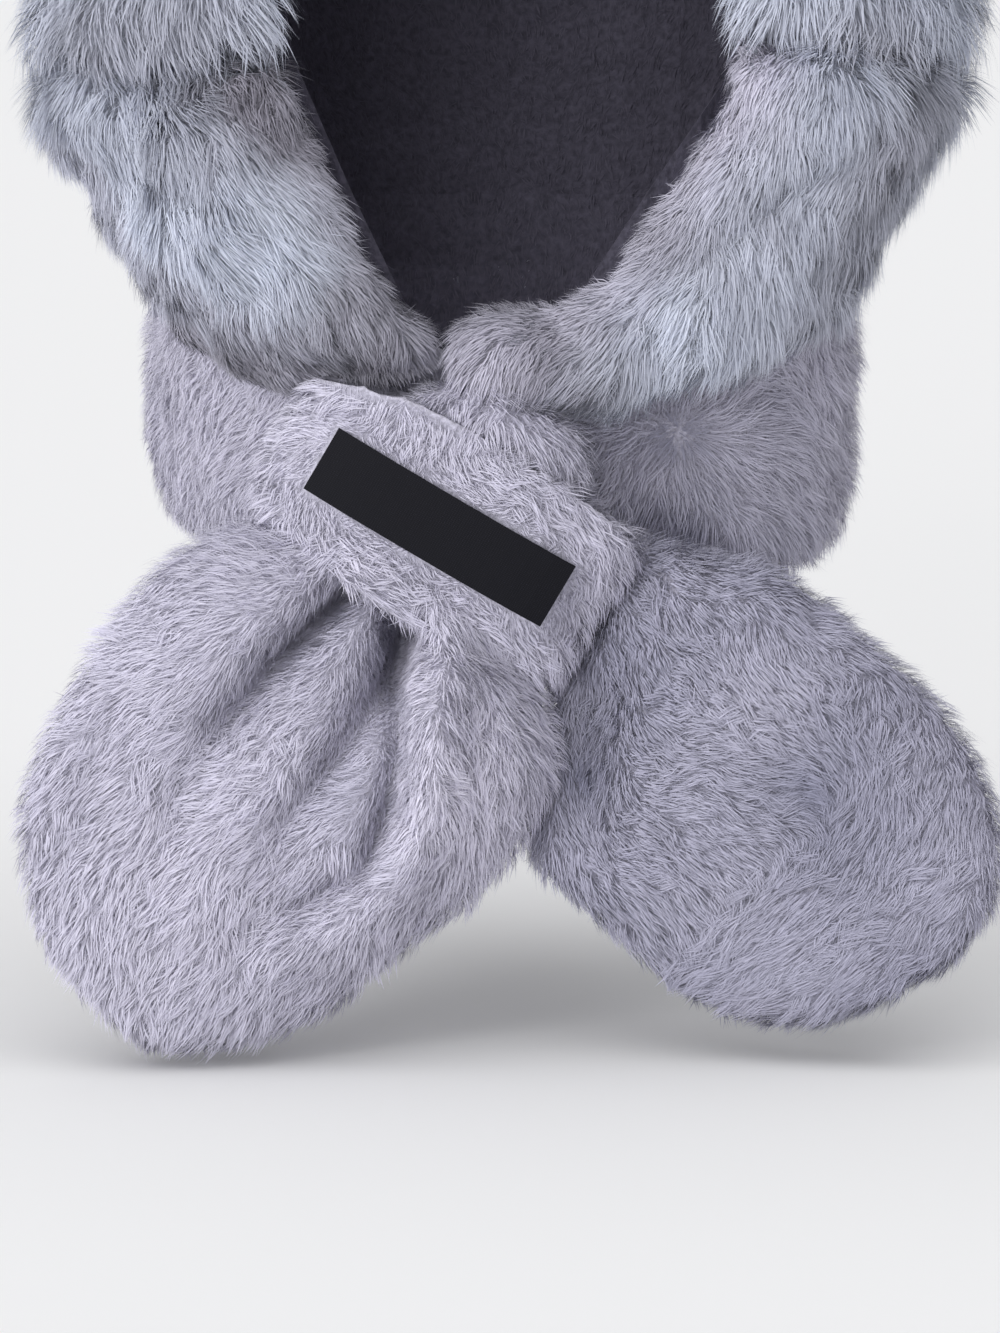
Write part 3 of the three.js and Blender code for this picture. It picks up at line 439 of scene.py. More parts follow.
def rows_of_three(items, field):
    flat = np.empty(len(items) * 3, np.float32)
    items.foreach_get(field, flat)
    return flat.reshape(-1, 3).astype(float)


def vertex_places(mesh):
    return rows_of_three(mesh.vertices, "co")


def vertex_normals(mesh):
    return rows_of_three(mesh.vertex_normals, "vector")


def place_vertices(mesh, places):
    mesh.vertices.foreach_set("co", places.astype(np.float32).ravel())
    mesh.update()


def unit(vectors):
    return vectors / np.maximum(np.linalg.norm(vectors, axis=1, keepdims=True), 1e-9)


def bell(distance, width):
    """1 at no distance, and smoothly down to about a third at this width."""
    return np.exp(-((distance / width) ** 2))


def climb(value, start, over):
    """0 up to the start, and evenly up to 1 once the value is this much over it."""
    return np.clip((value - start) / over, 0, 1)


def facing(normals):
    """1 where the skin faces the camera, 0 where it faces away."""
    return np.clip(0.6 - 1.6 * normals[:, 1], 0, 1)


def pixels_from(spots, mark):
    """How far spots of the photograph are from a marked place, in its pixels."""
    return np.hypot(spots[:, 0] - mark.px, spots[:, 1] - mark.py)


def smooth_noise(points, size, seed):
    """A soft random value from about -1 to 1 at each point, with bumps of this size in metres."""
    rng = np.random.default_rng(seed)
    total = np.zeros(len(points))
    for _ in range(5):
        way = rng.normal(size=3)
        way /= np.linalg.norm(way)
        waves = points @ way * (2 * math.pi / size) * rng.uniform(0.6, 1.5)
        total += np.sin(waves + rng.uniform(0, 6.3))
    return total / 2.6


# Skins: the soft forms under the pile

def link(name, data):
    piece = bpy.data.objects.new(name, data)
    bpy.context.scene.collection.objects.link(piece)
    return piece


def settle(piece):
    """Turns the piece's modifiers into its mesh."""
    graph = bpy.context.evaluated_depsgraph_get()
    mesh = bpy.data.meshes.new_from_object(piece.evaluated_get(graph))
    piece.modifiers.clear()
    piece.data = mesh
    mesh.name = piece.name


def skin_of(node_name, name, build):
    """A soft closed form from a node of the part, evenly meshed and relaxed."""
    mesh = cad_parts[node_name].data.copy()
    work = bmesh.new()
    work.from_mesh(mesh)
    bmesh.ops.remove_doubles(work, verts=work.verts, dist=SAME_PLACE)
    work.to_mesh(mesh)
    work.free()
    spare = [layer.name for layer in mesh.attributes if not (layer.is_internal or layer.is_required)]
    for layer in spare:
        mesh.attributes.remove(mesh.attributes[layer])
    mesh.materials.clear()
    piece = link(name, mesh)
    even_mesh(piece, build.grain)
    relax(piece, build.rounds)
    return piece


def keep_largest(piece):
    """Drops the crumbs that the even meshing leaves, and keeps the one big form."""
    work = bmesh.new()
    work.from_mesh(piece.data)
    left = set(work.verts)
    largest = set()
    while left:
        island = {left.pop()}
        edge = list(island)
        while edge:
            vertex = edge.pop()
            for near in [e.other_vert(vertex) for e in vertex.link_edges]:
                if near in left:
                    left.discard(near)
                    island.add(near)
                    edge.append(near)
        if len(island) > len(largest):
            largest = island
    crumbs = [v for v in work.verts if v not in largest]
    bmesh.ops.delete(work, geom=crumbs, context="VERTS")
    work.to_mesh(piece.data)
    work.free()


def even_mesh(piece, grain):
    """Meshes the form anew with small even faces, and keeps its one big part."""
    remesh = piece.modifiers.new("even mesh", "REMESH")
    remesh.mode = "VOXEL"
    remesh.voxel_size = grain
    settle(piece)
    keep_largest(piece)


def held_within(piece, outline, grain):
    """Draws in what stands past the outline in the photograph, on the right of the way along it."""
    mesh = piece.data
    places = vertex_places(mesh)
    spots = photo_places(places)
    near, side, _, nearest = path_place(spots, outline)
    tufts = (side < 0) & (near < TUFT_REACH)
    step = (nearest - spots) * PIXEL * tufts[:, None]
    places[:, 0] += step[:, 0]
    places[:, 2] -= step[:, 1]
    place_vertices(mesh, places)
    even_mesh(piece, grain)
    relax(piece, MELT_ROUNDS, 0.0)
    relax(piece, EASE_ROUNDS)


def relax(piece, rounds, back=SMOOTH_OUT):
    """Smooths small bumps away and, by pushing back after each round, keeps the large form."""
    mesh = piece.data
    edges = np.empty(len(mesh.edges) * 2, np.int32)
    mesh.edges.foreach_get("vertices", edges)
    start, end = edges.reshape(-1, 2).T
    places = vertex_places(mesh)
    around = np.bincount(start, minlength=len(places)) + np.bincount(end, minlength=len(places))
    for _ in range(rounds):
        for share in (SMOOTH_IN, back):
            sums = [np.bincount(start, places[end, k], len(places))
                    + np.bincount(end, places[start, k], len(places)) for k in range(3)]
            places += share * (np.stack(sums, 1) / around[:, None] - places)
    place_vertices(mesh, places)


def filled(piece, pressure):
    """Swells the pad as its filling does, by a short cloth simulation, and keeps the result."""
    rest = vertex_places(piece.data)
    cloth = piece.modifiers.new("filling", "CLOTH")
    cloth.settings.use_pressure = True
    cloth.settings.uniform_pressure_force = pressure
    cloth.settings.effector_weights.gravity = 0.0
    cloth.settings.tension_stiffness = 12.0
    cloth.settings.bending_stiffness = 0.8
    scene = bpy.context.scene
    for number in range(1, SWELL_FRAMES + 1):
        scene.frame_set(number)
    graph = bpy.context.evaluated_depsgraph_get()
    swollen = vertex_places(piece.evaluated_get(graph).data)
    piece.modifiers.clear()
    scene.frame_set(1)
    moved = swollen - rest
    far = np.linalg.norm(moved, axis=1, keepdims=True)
    cap = settings().swell
    place_vertices(piece.data, rest + moved * np.minimum(1.0, cap / np.maximum(far, 1e-9)))


def sink(piece, depth):
    """Moves the skin in by one depth, or by one for each vertex, to make room for the pile."""
    mesh = piece.data
    inward = vertex_normals(mesh) * np.reshape(depth, (-1, 1))
    place_vertices(mesh, vertex_places(mesh) - inward)


def path_place(spots, path):
    """Distance to a path in metres, the side of it (+1 is its left), how far along, nearest point."""
    path = np.array(path, float)
    runs = np.linalg.norm(np.diff(path, axis=0), axis=1)
    begun = np.concatenate([[0.0], np.cumsum(runs)]) / runs.sum()
    near = np.full(len(spots), np.inf)
    side = np.ones(len(spots))
    along = np.zeros(len(spots))
    nearest = spots.copy()
    for k, run in enumerate(runs):
        way = (path[k + 1] - path[k]) / run
        off = spots - path[k]
        step = np.clip(off @ way, 0, run)
        away = off - step[:, None] * way
        far = np.linalg.norm(away, axis=1)
        closer = far < near
        near[closer] = far[closer]
        left = off[:, 0] * way[1] - off[:, 1] * way[0]
        side[closer] = np.sign(left[closer])
        along[closer] = begun[k] + step[closer] / run * (begun[k + 1] - begun[k])
        nearest[closer] = (path[k] + step[:, None] * way)[closer]
    return near * PIXEL, side, along, nearest


def fold_in(piece, folds):
    """Presses the folds that the photograph shows into the front of the piece."""
    mesh = piece.data
    places = vertex_places(mesh)
    front = np.clip(-1.6 * vertex_normals(mesh)[:, 1], 0, 1)
    spots = photo_places(places)
    moved = np.zeros(len(places))
    for fold in folds:
        near, side, along, _ = path_place(spots, fold.path)
        # Shallower towards the end of its path
        fade = np.clip(1.25 - along, 0, 1) ** 0.8
        moved += fold.depth * fade * bell(near, fold.width)
        on_lip = side == np.sign(fold.lip)
        hump = bell(near - LIP_AT * fold.width, LIP_WIDE * fold.width)
        moved -= abs(fold.lip) * fade * hump * on_lip
    places[:, 1] += moved * front
    place_vertices(mesh, places)


def puff_out(piece, puffs):
    """Swells the skin round places in the photograph."""
    mesh = piece.data
    places = vertex_places(mesh)
    normals = vertex_normals(mesh)
    spots = photo_places(places)
    front = np.clip(0.7 - 1.4 * normals[:, 1], 0, 1)
    out = np.zeros(len(places))
    for puff in puffs:
        out += puff.height * bell(pixels_from(spots, puff) * PIXEL, puff.radius)
    place_vertices(mesh, places + normals * (out * front)[:, None])


def tufted(piece, height, size, seed):
    """Raises soft low lumps, as long fur lies in heaps."""
    mesh = piece.data
    places = vertex_places(mesh)
    lumps = smooth_noise(places, size, seed) * height
    place_vertices(mesh, places + vertex_normals(mesh) * lumps[:, None])


# Pile: tapered, bent strands in clumps, joined into one mesh

def combed(points, normals, guides, reach, fall, burst):
    """Unit vectors in the skin along which the pile lies. It parts outward round a burst."""
    behind = np.tile(np.array(fall, float), (len(points), 1))
    way = 0.04 * behind
    spots = photo_places(points)
    for guide in guides:
        turn = math.radians(guide.toward)
        push = bell(pixels_from(spots, guide), reach)[:, None]
        way = way + push * np.array([math.cos(turn), 0.0, math.sin(turn)])
    if burst:
        away = spots - np.array([burst.px, burst.py])
        near = np.linalg.norm(away, axis=1)[:, None]
        push = 3.0 * bell(near * PIXEL, burst.radius)
        out = np.stack([away[:, 0], np.zeros(len(away)), -away[:, 1]], 1) / np.maximum(near, 1)
        way = unit(way) + push * out
    front = facing(normals)[:, None]
    way = front * unit(way) + (1 - front) * behind
    way -= normals * (way * normals).sum(1, keepdims=True)
    flat = np.linalg.norm(way, axis=1) < 0.05
    way[flat] = np.cross(normals[flat], [1.0, 0.0, 0.0])
    return unit(way)


def turned(way, normals, angle):
    across = np.cross(normals, way)
    return way * np.cos(angle)[:, None] + across * np.sin(angle)[:, None]


def sown(skin, count, rng, weight):
    """Roots spread over the skin: places and normals. Weight is by place and normal."""
    mesh = skin.data
    mesh.calc_loop_triangles()
    corners = np.empty(len(mesh.loop_triangles) * 3, np.int32)
    mesh.loop_triangles.foreach_get("vertices", corners)
    corners = corners.reshape(-1, 3)
    places = vertex_places(mesh)[corners]
    normals = vertex_normals(mesh)[corners]
    area = np.linalg.norm(np.cross(places[:, 1] - places[:, 0], places[:, 2] - places[:, 0]), axis=1)
    sums = np.cumsum(area * weight(places.mean(1), unit(normals.mean(1))))
    wanted = (np.arange(count) + rng.random(count)) / count * sums[-1]
    face = np.searchsorted(sums, wanted).clip(0, len(sums) - 1)
    u, v = rng.random((2, count))
    over = u + v > 1
    u[over], v[over] = 1 - u[over], 1 - v[over]
    parts = np.stack([1 - u - v, u, v], 1)[:, :, None]
    return (places[face] * parts).sum(1), unit((normals[face] * parts).sum(1))


def clumps_of(roots, size, rng):
    """Picks clump middles that far apart on average, and each root's own clump."""
    spread = roots[rng.permutation(len(roots))[:CLUMP_SAMPLE]]
    tree = place_tree(spread)
    apart = np.mean([tree.find_n(place, 2)[1][2] for place in spread[:400].tolist()])
    count = int(np.clip(CLUMP_SAMPLE * (apart * 2.0 / size) ** 2, 60, len(roots) / 3))
    middles = rng.permutation(len(roots))[:count]
    tree = place_tree(roots[middles])
    own = np.array([tree.find(place)[1] for place in roots.tolist()])
    return middles, own


def place_tree(places):
    """Finds the nearest of these places quickly."""
    tree = KDTree(len(places))
    for k, place in enumerate(places.tolist()):
        tree.insert(place, k)
    tree.balance()
    return tree


def strand_points(root, normal, way, length, lift, rest):
    """Middle and tip of strands that rise off the skin and bend over along it."""
    lift, rest = lift[:, None], rest[:, None]
    half = length[:, None] / 2
    middle = root + half * (np.cos(lift) * way + np.sin(lift) * normal)
    tip = middle + half * (np.cos(rest) * way + np.sin(rest) * normal)
    return middle, tip


def grow(name, skin, coat, guides, share, seed, material, where=None, reach=62.0,
         fall=(0.0, 0.0, -1.0), scale=1.0, root_mask=None, trim_length=None, tint=None, mild=None,
         burst=None):
    """Grows one piece's pile on its skin, with its share of all strands, as a piece of its own."""
    rng = np.random.default_rng(seed)
    count = int(share * 1000 * settings().strands)

    def weight(places, normals):
        behind = np.where(normals[:, 1] > FACES_BACK, coat.thin_behind, 1.0)
        return behind * (where(places, normals) if where else 1.0)

    root, normal = sown(skin, count, rng, weight)
    if root_mask is not None:
        kept = root_mask(root, normal)
        root, normal = root[kept], normal[kept]
        count = len(root)
    way = combed(root, normal, guides, reach, fall, burst)
    way = turned(way, normal, LANE_RUFFLE * smooth_noise(root, LANE_WIDE, seed + 1))
    short = rng.random(count) < coat.under
    full = coat.length * scale * np.ones(count)
    if trim_length is not None:
        full = full * trim_length(root, normal)

    middles, own = clumps_of(root, coat.clump, rng)
    many = len(middles)
    swirl = math.radians(coat.swirl) * rng.normal(size=many) * 0.6
    longer = rng.uniform(0.84, 1.12, many)
    higher = CLUMP_RISE * rng.normal(size=many)
    shade = rng.random(many)

    ruffle = np.where(short, UNDER_RUFFLE, LONG_RUFFLE) * rng.normal(size=count)
    rise = np.where(short, UNDER_RISE, 0.0) + STRAND_RISE * rng.normal(size=count)
    length = full * longer[own] * rng.uniform(0.70, 1.10, count)
    length = length * np.where(short, coat.under_length, 1.0)
    lift = math.radians(coat.lift) + higher[own] + rise
    rest = math.radians(coat.rest) + higher[own] + rise
    lain = turned(way, normal, swirl[own] + ruffle)
    middle, tip = strand_points(root, normal, lain, length, lift, rest)

    core_mid, core_tip = strand_points(
        root[middles], normal[middles], turned(way[middles], normal[middles], swirl),
        full[middles] * longer, math.radians(coat.lift) + higher, math.radians(coat.rest) + higher)
    near = np.linalg.norm(root - root[middles][own], axis=1) < 2.5 * coat.clump
    gather = (coat.gather * rng.uniform(0.3, 1.0, count) * near * ~short)[:, None]
    middle = middle + 0.30 * gather * (core_mid[own] - middle)
    tip = tip + gather * (core_tip[own] - tip)

    width = coat.width * rng.uniform(0.75, 1.25, count) * np.where(short, UNDER_WIDTH, 1.0)
    tone = 0.6 * rng.random(count) + 0.6 * rng.random(count) ** 6
    shares = [share(root, normal) if share else np.zeros(count) for share in (tint, mild)]
    strands = Strands(root, middle, tip, normal, width, shade[own], tone, *shares)
    mesh = strand_mesh(name, strands, short)
    mesh.materials.append(material)
    piece = link(name, mesh)
    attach(piece, BODY)
    return piece


def blades(strands, blade, cells, first_cell):
    """Corners of one kind of strand, with their colours, shading and bake places, and its faces."""
    count = len(strands.root)
    along = np.array(blade.along)[None, :, None]
    sides = np.array(blade.sides, float)[None, :, None]
    line = {0.0: strands.root, 0.5: strands.middle, 1.0: strands.tip}
    spine = np.stack([line[share] for share in blade.along], 1)
    flow = unit(strands.tip - strands.root)
    side = unit(np.cross(flow, strands.normal))
    places = spine + sides * side[:, None] * strands.width[:, None, None] / 2

    flat = unit(strands.normal - flow * (strands.normal * flow).sum(1, keepdims=True))
    shading = (0.85 * strands.normal + 0.15 * flat)[:, None] + 0.15 * sides * side[:, None]
    ones = np.ones((count, len(blade.along)))
    pile = np.stack([ones * along[:, :, 0], ones * strands.shade[:, None],
                     ones * strands.own[:, None], ones], 2)
    number = first_cell + np.arange(count)
    cell = np.stack([number % cells, number // cells], 1)[:, None]
    chart = (cell + np.array(blade.chart)[list(blade.loops)]) / cells
    loops = np.arange(count)[:, None] * len(blade.along) + np.array(blade.loops)
    tint, mild = [(ones * share[:, None]).ravel() for share in (strands.tint, strands.mild)]
    return Corners(places.reshape(-1, 3), unit(shading.reshape(-1, 3)), pile.reshape(-1, 4), tint, mild,
                   loops.ravel(), chart.reshape(-1, 2))


def strand_mesh(name, strands, short):
    """Joins all strands of a piece into one mesh, with their shading and their bake map."""
    cells = math.ceil(math.sqrt(len(short)))
    kites = blades(Strands(*[part[~short] for part in strands]), KITE, cells, 0)
    spikes = blades(Strands(*[part[short] for part in strands]), SPIKE, cells, int((~short).sum()))

    def both(field):
        parts = [getattr(kites, field), getattr(spikes, field)]
        return np.concatenate(parts).astype(np.float32).ravel()

    loops = np.concatenate([kites.loops, spikes.loops + len(kites.places)])
    mesh = bpy.data.meshes.new(name)
    mesh.vertices.add(len(kites.places) + len(spikes.places))
    mesh.vertices.foreach_set("co", both("places"))
    mesh.loops.add(len(loops))
    mesh.loops.foreach_set("vertex_index", loops.astype(np.int32))
    mesh.polygons.add(len(loops) // 3)
    mesh.polygons.foreach_set("loop_start", np.arange(0, len(loops), 3, dtype=np.int32))
    mesh.polygons.foreach_set("use_smooth", np.ones(len(loops) // 3, bool))
    mesh.update(calc_edges=True)

    layers = (("pile", "FLOAT_COLOR", "color"), ("tint", "FLOAT", "value"), ("mild", "FLOAT", "value"))
    for field, kind, value in layers:
        layer = mesh.attributes.new(field, kind, "POINT")
        layer.data.foreach_set(value, both(field))
    chart = mesh.uv_layers.new(name="OFBake")
    chart.data.foreach_set("uv", both("chart"))
    mesh.normals_split_custom_set_from_vertices(both("shading").reshape(-1, 3))
    return mesh


# Materials

def new_material(name, colour, roughness):
    material = bpy.data.materials.new(name)
    material.use_nodes = True
    shader = material.node_tree.nodes["Principled BSDF"]
    shader.inputs["Base Color"].default_value = (*colour, 1.0)
    shader.inputs["Roughness"].default_value = roughness
    shader.inputs["Specular IOR Level"].default_value = 0.25
    return material, material.node_tree, shader


def node(tree, kind, constants=None, **values):
    """A new node with these values of its own, and these constants on its sockets."""
    made = tree.nodes.new(kind)
    for key, value in values.items():
        setattr(made, key, value)
    for key, value in (constants or {}).items():
        made.inputs[key].default_value = value
    return made


def wire(tree, *wires):
    """Joins nodes, each wire given as a node, its output, the next node and its input."""
    for source, output, target, socket in wires:
        tree.links.new(source.outputs[output], target.inputs[socket])


def speckle(tree, scale, detail):
    """A cloudy pattern that keeps its place on the object."""
    place = node(tree, "ShaderNodeTexCoord")
    noise = node(tree, "ShaderNodeTexNoise", {"Scale": scale, "Detail": detail})
    wire(tree, (place, "Object", noise, "Vector"))
    return noise


def colour_mix(tree, share_name, first, second):
    """Mixes two colours by a share that every strand carries, which may pass its ends."""
    share = node(tree, "ShaderNodeAttribute", attribute_name=share_name)
    mix = node(tree, "ShaderNodeMix", data_type="RGBA", clamp_factor=False)
    ends = [socket for socket in mix.inputs if socket.type == "RGBA"]
    for end, value in zip(ends, (first, second)):
        if isinstance(value, bpy.types.NodeSocket):
            tree.links.new(value, end)
        else:
            end.default_value = (*value, 1.0)
    wire(tree, (share, "Fac", mix, "Factor"))
    return [socket for socket in mix.outputs if socket.type == "RGBA"][0]


def tone_sum(tree, parts, start):
    """Adds up outputs, each times its weight, to a start value."""
    total = None
    for output, weight in parts:
        step = node(tree, "ShaderNodeMath", {1: weight, 2: start}, operation="MULTIPLY_ADD")
        tree.links.new(output, step.inputs[0])
        if total is not None:
            tree.links.new(total, step.inputs[2])
        total = step.outputs["Value"]
    return total


def pile_material(name, colour, shaded, root_shade_share, sheen=0.12, mild=None):
    """Pile a little darker at its roots, as painted shade down among the strands, with clumps, strands
    and patches of other tones.
    """
    material, tree, shader = new_material(name, colour, 0.80)
    shader.inputs["Sheen Weight"].default_value = sheen
    shader.inputs["Sheen Roughness"].default_value = 0.5
    pile = node(tree, "ShaderNodeAttribute", attribute_name="pile")
    split = node(tree, "ShaderNodeSeparateColor")
    depth = node(tree, "ShaderNodeMapRange", {"From Max": 0.8, "To Min": root_shade_share},
                 interpolation_type="SMOOTHSTEP")
    patches = speckle(tree, 24.0, 3.0)
    tone = tone_sum(tree, ((split.outputs["Green"], 0.11), (split.outputs["Blue"], 0.13),
                           (patches.outputs["Fac"], 0.14)), 0.81)
    value = node(tree, "ShaderNodeMath", operation="MULTIPLY")
    tree.links.new(tone, value.inputs[1])
    if mild:
        colour = colour_mix(tree, "mild", colour, mild)
    vary = node(tree, "ShaderNodeHueSaturation")
    # Each strand goes toward the shaded colour by its share: painted shade, painted light below 0, and
    # random tone
    tree.links.new(colour_mix(tree, "tint", colour, shaded), vary.inputs["Color"])
    wire(tree, (pile, "Color", split, "Color"), (split, "Red", depth, "Value"),
         (depth, "Result", value, 0), (value, "Value", vary, "Value"),
         (vary, "Color", shader, "Base Color"))
    return material


def toned(colour, share):
    return [share * part for part in colour]


def emboss(tree, shader, pattern, colour, tones, strength, height):
    """Lays a pattern on the cloth as a bump and as tones, each a place and a share of the colour."""
    ramp = node(tree, "ShaderNodeValToRGB")
    for element, (position, share) in zip(ramp.color_ramp.elements, tones):
        element.position = position
        element.color = (*toned(colour, share), 1.0)
    bump = node(tree, "ShaderNodeBump", {"Strength": strength, "Distance": height})
    tree.links.new(pattern, ramp.inputs["Fac"])
    tree.links.new(pattern, bump.inputs["Height"])
    wire(tree, (ramp, "Color", shader, "Base Color"), (bump, "Normal", shader, "Normal"))


def backing_material(name, colour, grain):
    """Knitted backing seen between the strands: dark, matt and finely pebbled."""
    material, tree, shader = new_material(name, colour, 0.95)
    pebbles = speckle(tree, grain, 4.0)
    emboss(tree, shader, pebbles.outputs["Fac"], colour, ((0.3, 0.62), (0.7, 1.15)), 0.6, 0.001)
    return material


def woven_material(name):
    """Fine satin weave, seen as close dark ribs along the tag."""
    colour = settings().tag_colour
    material, tree, shader = new_material(name, colour, 0.70)
    shader.inputs["Specular IOR Level"].default_value = 0.12
    _, along, _, _, _ = label_frame()
    slope = math.atan2(along[1], along[0])
    place = node(tree, "ShaderNodeTexCoord")
    turn = node(tree, "ShaderNodeMapping", {"Rotation": (0.0, slope, 0.0)})
    wire(tree, (place, "Object", turn, "Vector"))
    weave = node(tree, "ShaderNodeMath", operation="MULTIPLY")
    for k, (way, scale, wobble) in enumerate((("X", 420.0, 0.6), ("Z", 560.0, 0.4))):
        ribs = node(tree, "ShaderNodeTexWave", {"Scale": scale, "Distortion": wobble},
                    wave_type="BANDS", bands_direction=way)
        wire(tree, (turn, "Vector", ribs, "Vector"), (ribs, "Fac", weave, k))
    emboss(tree, shader, weave.outputs["Value"], colour, ((0.0, 0.7), (1.0, 1.5)), 0.35, 0.0003)
    return material


def kept_material(name, make):
    """The material of that name, made on its first use."""
    return bpy.data.materials.get(name) or make(name)


def plush_pile():
    colour = settings().plush_colour[:]
    # A darker, bluer copy of the plush's colour: painted shade
    painted_shade_colour = [share * part for share, part in zip(PLUSH_PAINTED_SHADE, colour)]
    return kept_material("plush pile", lambda name: pile_material(name, colour, painted_shade_colour, 0.90))


def deep_pile():
    colour, plush = settings().fur_colour[:], settings().plush_colour[:]
    # A darker copy of the plush's colour: painted shade for the deep fur
    dark = toned(plush, FUR_IN_SHADE)
    return kept_material("deep fur", lambda name: pile_material(name, colour, dark, 0.88, mild=plush))


def fleece_pile():
    colour = toned(settings().fleece_colour, FLEECE_NAP)
    return kept_material("fleece nap", lambda name: pile_material(name, colour, colour, 0.95, 0.01))


def plush_backing():
    # The knit a little darker than the pile: painted shade down among the strands
    colour = toned(settings().plush_colour, PLUSH_KNIT)
    return kept_material("plush backing", lambda name: backing_material(name, colour, 900.0))


def fur_backing():
    # The knit a little darker than the fur: painted shade down among the strands
    colour = toned(settings().fur_colour, FUR_KNIT)
    return kept_material("fur backing", lambda name: backing_material(name, colour, 900.0))


def wear(piece, material):
    piece.data.materials.clear()
    piece.data.materials.append(material)


def finish_skin(piece, node_name, material, fill):
    """Makes a skin a finished piece that stands for its node."""
    wear(piece, material)
    piece.data.shade_smooth()
    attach(piece, BODY)
    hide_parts(node_name)


# Pieces

def painted_shade_and_patches(shades, side=1.0, amount=0.0):
    """Painted shade: darker at the given shades (painted light where these are below 0), darker by this
    amount past one side, and random patches of tone.
    """
    def tint(places, normals):
        dark = amount * np.clip((places[:, 0] - side) / 0.03 + 0.5, 0, 1)
        patches = 0.12 * smooth_noise(places, size=0.05, seed=7)
        return dark + patches + shaded(places, normals, shades)

    return tint


def shaded(places, normals, shades):
    """Sum of the painted shade (and, below 0, painted light) at each place, on the front of the piece
    only.
    """
    spots = photo_places(places)
    dark = np.zeros(len(places))
    for shade in shades:
        dark += shade.amount * bell(pixels_from(spots, shade) * PIXEL, shade.radius)
    return dark * facing(normals)


class HOODSCARF_OT_lining(bpy.types.Operator):
    """Gives the lining its fleece and a short nap"""

    bl_idname = "hoodscarf.lining"
    bl_label = "Fleece lining"

    def execute(self, context):
        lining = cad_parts["hood_lining"]
        colour = settings().fleece_colour[:]
        fleece = kept_material("fleece cloth", lambda name: backing_material(name, colour, 420.0))
        wear(lining, fleece)
        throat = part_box("hood_lining")[0].z

        def inside(places, normals):
            inward = (places * normals)[:, :2].sum(1) < 0
            at_back = (normals[:, 1] < -0.3) & (np.abs(places[:, 0]) < LINING_SEEN)
            return np.where(inward & (places[:, 2] > throat), np.where(at_back, 1.0, 0.20), 0.0)

        skin = link("lining_form", lining.data.copy())
        grow("lining_nap", skin, FLEECE, (), LINING_SHARE, 11, fleece_pile(), where=inside)
        bpy.data.objects.remove(skin)
        return {"FINISHED"}


def tuck_rim(skin):
    """Draws the hood's front rim back and aside, behind the fur rolls."""
    places = vertex_places(skin.data)
    spots = photo_places(places)
    near, side, _, _ = path_place(spots, FACE_EDGE)
    pull = np.where((side > 0) & (spots[:, 1] > FACE_TOP), 1.0, bell(near, RIM_REACH))
    pull = pull * climb(-places[:, 1], 0, 0.03)
    places[:, 1] += RIM_TUCK * pull
    places[:, 0] += RIM_SPREAD * pull * np.clip(places[:, 0] / 0.03, -1, 1)
    place_vertices(skin.data, places)


class HOODSCARF_OT_shell(bpy.types.Operator):
    """Makes the plush outside of the hood"""

    bl_idname = "hoodscarf.shell"
    bl_label = "Hood outside"

    def execute(self, context):
        skin = skin_of("hood_shell", "hood_backing", HOOD)
        sink(skin, HOOD.sink)
        tuck_rim(skin)
        finish_skin(skin, "hood_shell", plush_backing(), HOOD.fill)

        def outside(places, normals):
            outward = (places * normals)[:, :2].sum(1) + places[:, 2] * normals[:, 2] * 0.2
            return np.where(outward > 0, 1.0, 0.0)

        def clear_of_face(places, normals):
            spots = photo_places(places)
            near, side, _, _ = path_place(spots, FACE_EDGE)
            at_face = (near < RIM_BARE) | ((side > 0) & (spots[:, 1] > FACE_TOP))
            return ~(at_face & (places[:, 1] < -0.02))

        grow("hood_pile", skin, HOOD_PLUSH, (), HOOD.share, 21, plush_pile(), where=outside,
             scale=settings().pile_scale, root_mask=clear_of_face)
        return {"FINISHED"}


class HOODSCARF_OT_ears(bpy.types.Operator):
    """Makes the two plush ears"""

    bl_idname = "hoodscarf.ears"
    bl_label = "Ears"

    def execute(self, context):
        for side, seed in (("left", 31), ("right", 32)):
            skin = skin_of(f"ear_{side}", f"ear_{side}_pad", EAR)
            filled(skin, EAR_PRESSURE)
            sink(skin, EAR.sink)
            finish_skin(skin, f"ear_{side}", plush_backing(), EAR.fill)
            grow(f"ear_{side}_pile", skin, EAR_PLUSH, (), EAR.share, seed, plush_pile(),
                 fall=(0.0, -0.1, 1.0), scale=settings().pile_scale)
        return {"FINISHED"}


class HOODSCARF_OT_brim(bpy.types.Operator):
    """Makes the deep fur roll over the forehead"""

    bl_idname = "hoodscarf.brim"
    bl_label = "Forehead fur"

    def execute(self, context):
        skin = skin_of("brim", "brim_backing", BRIM)
        sink(skin, BRIM.sink)
        for outline in BRIM_OUTLINES:
            held_within(skin, outline, grain=0.0045)
        puff_out(skin, BRIM_PUFFS)
        tufted(skin, height=0.0022, size=0.030, seed=41)
        finish_skin(skin, "brim", fur_backing(), BRIM.fill)

        def patches(places, normals):
            # Random patches of tone, and painted shade at the given places
            patch = 0.28 * smooth_noise(places, size=0.060, seed=45)
            return 0.04 + patch + 0.6 * shaded(places, normals, BRIM_PAINTED_SHADE)

        grow("brim_fur", skin, DEEP, BRIM_FLOW, BRIM.share, 42, deep_pile(),
             scale=settings().fur_scale, tint=patches)
        return {"FINISHED"}


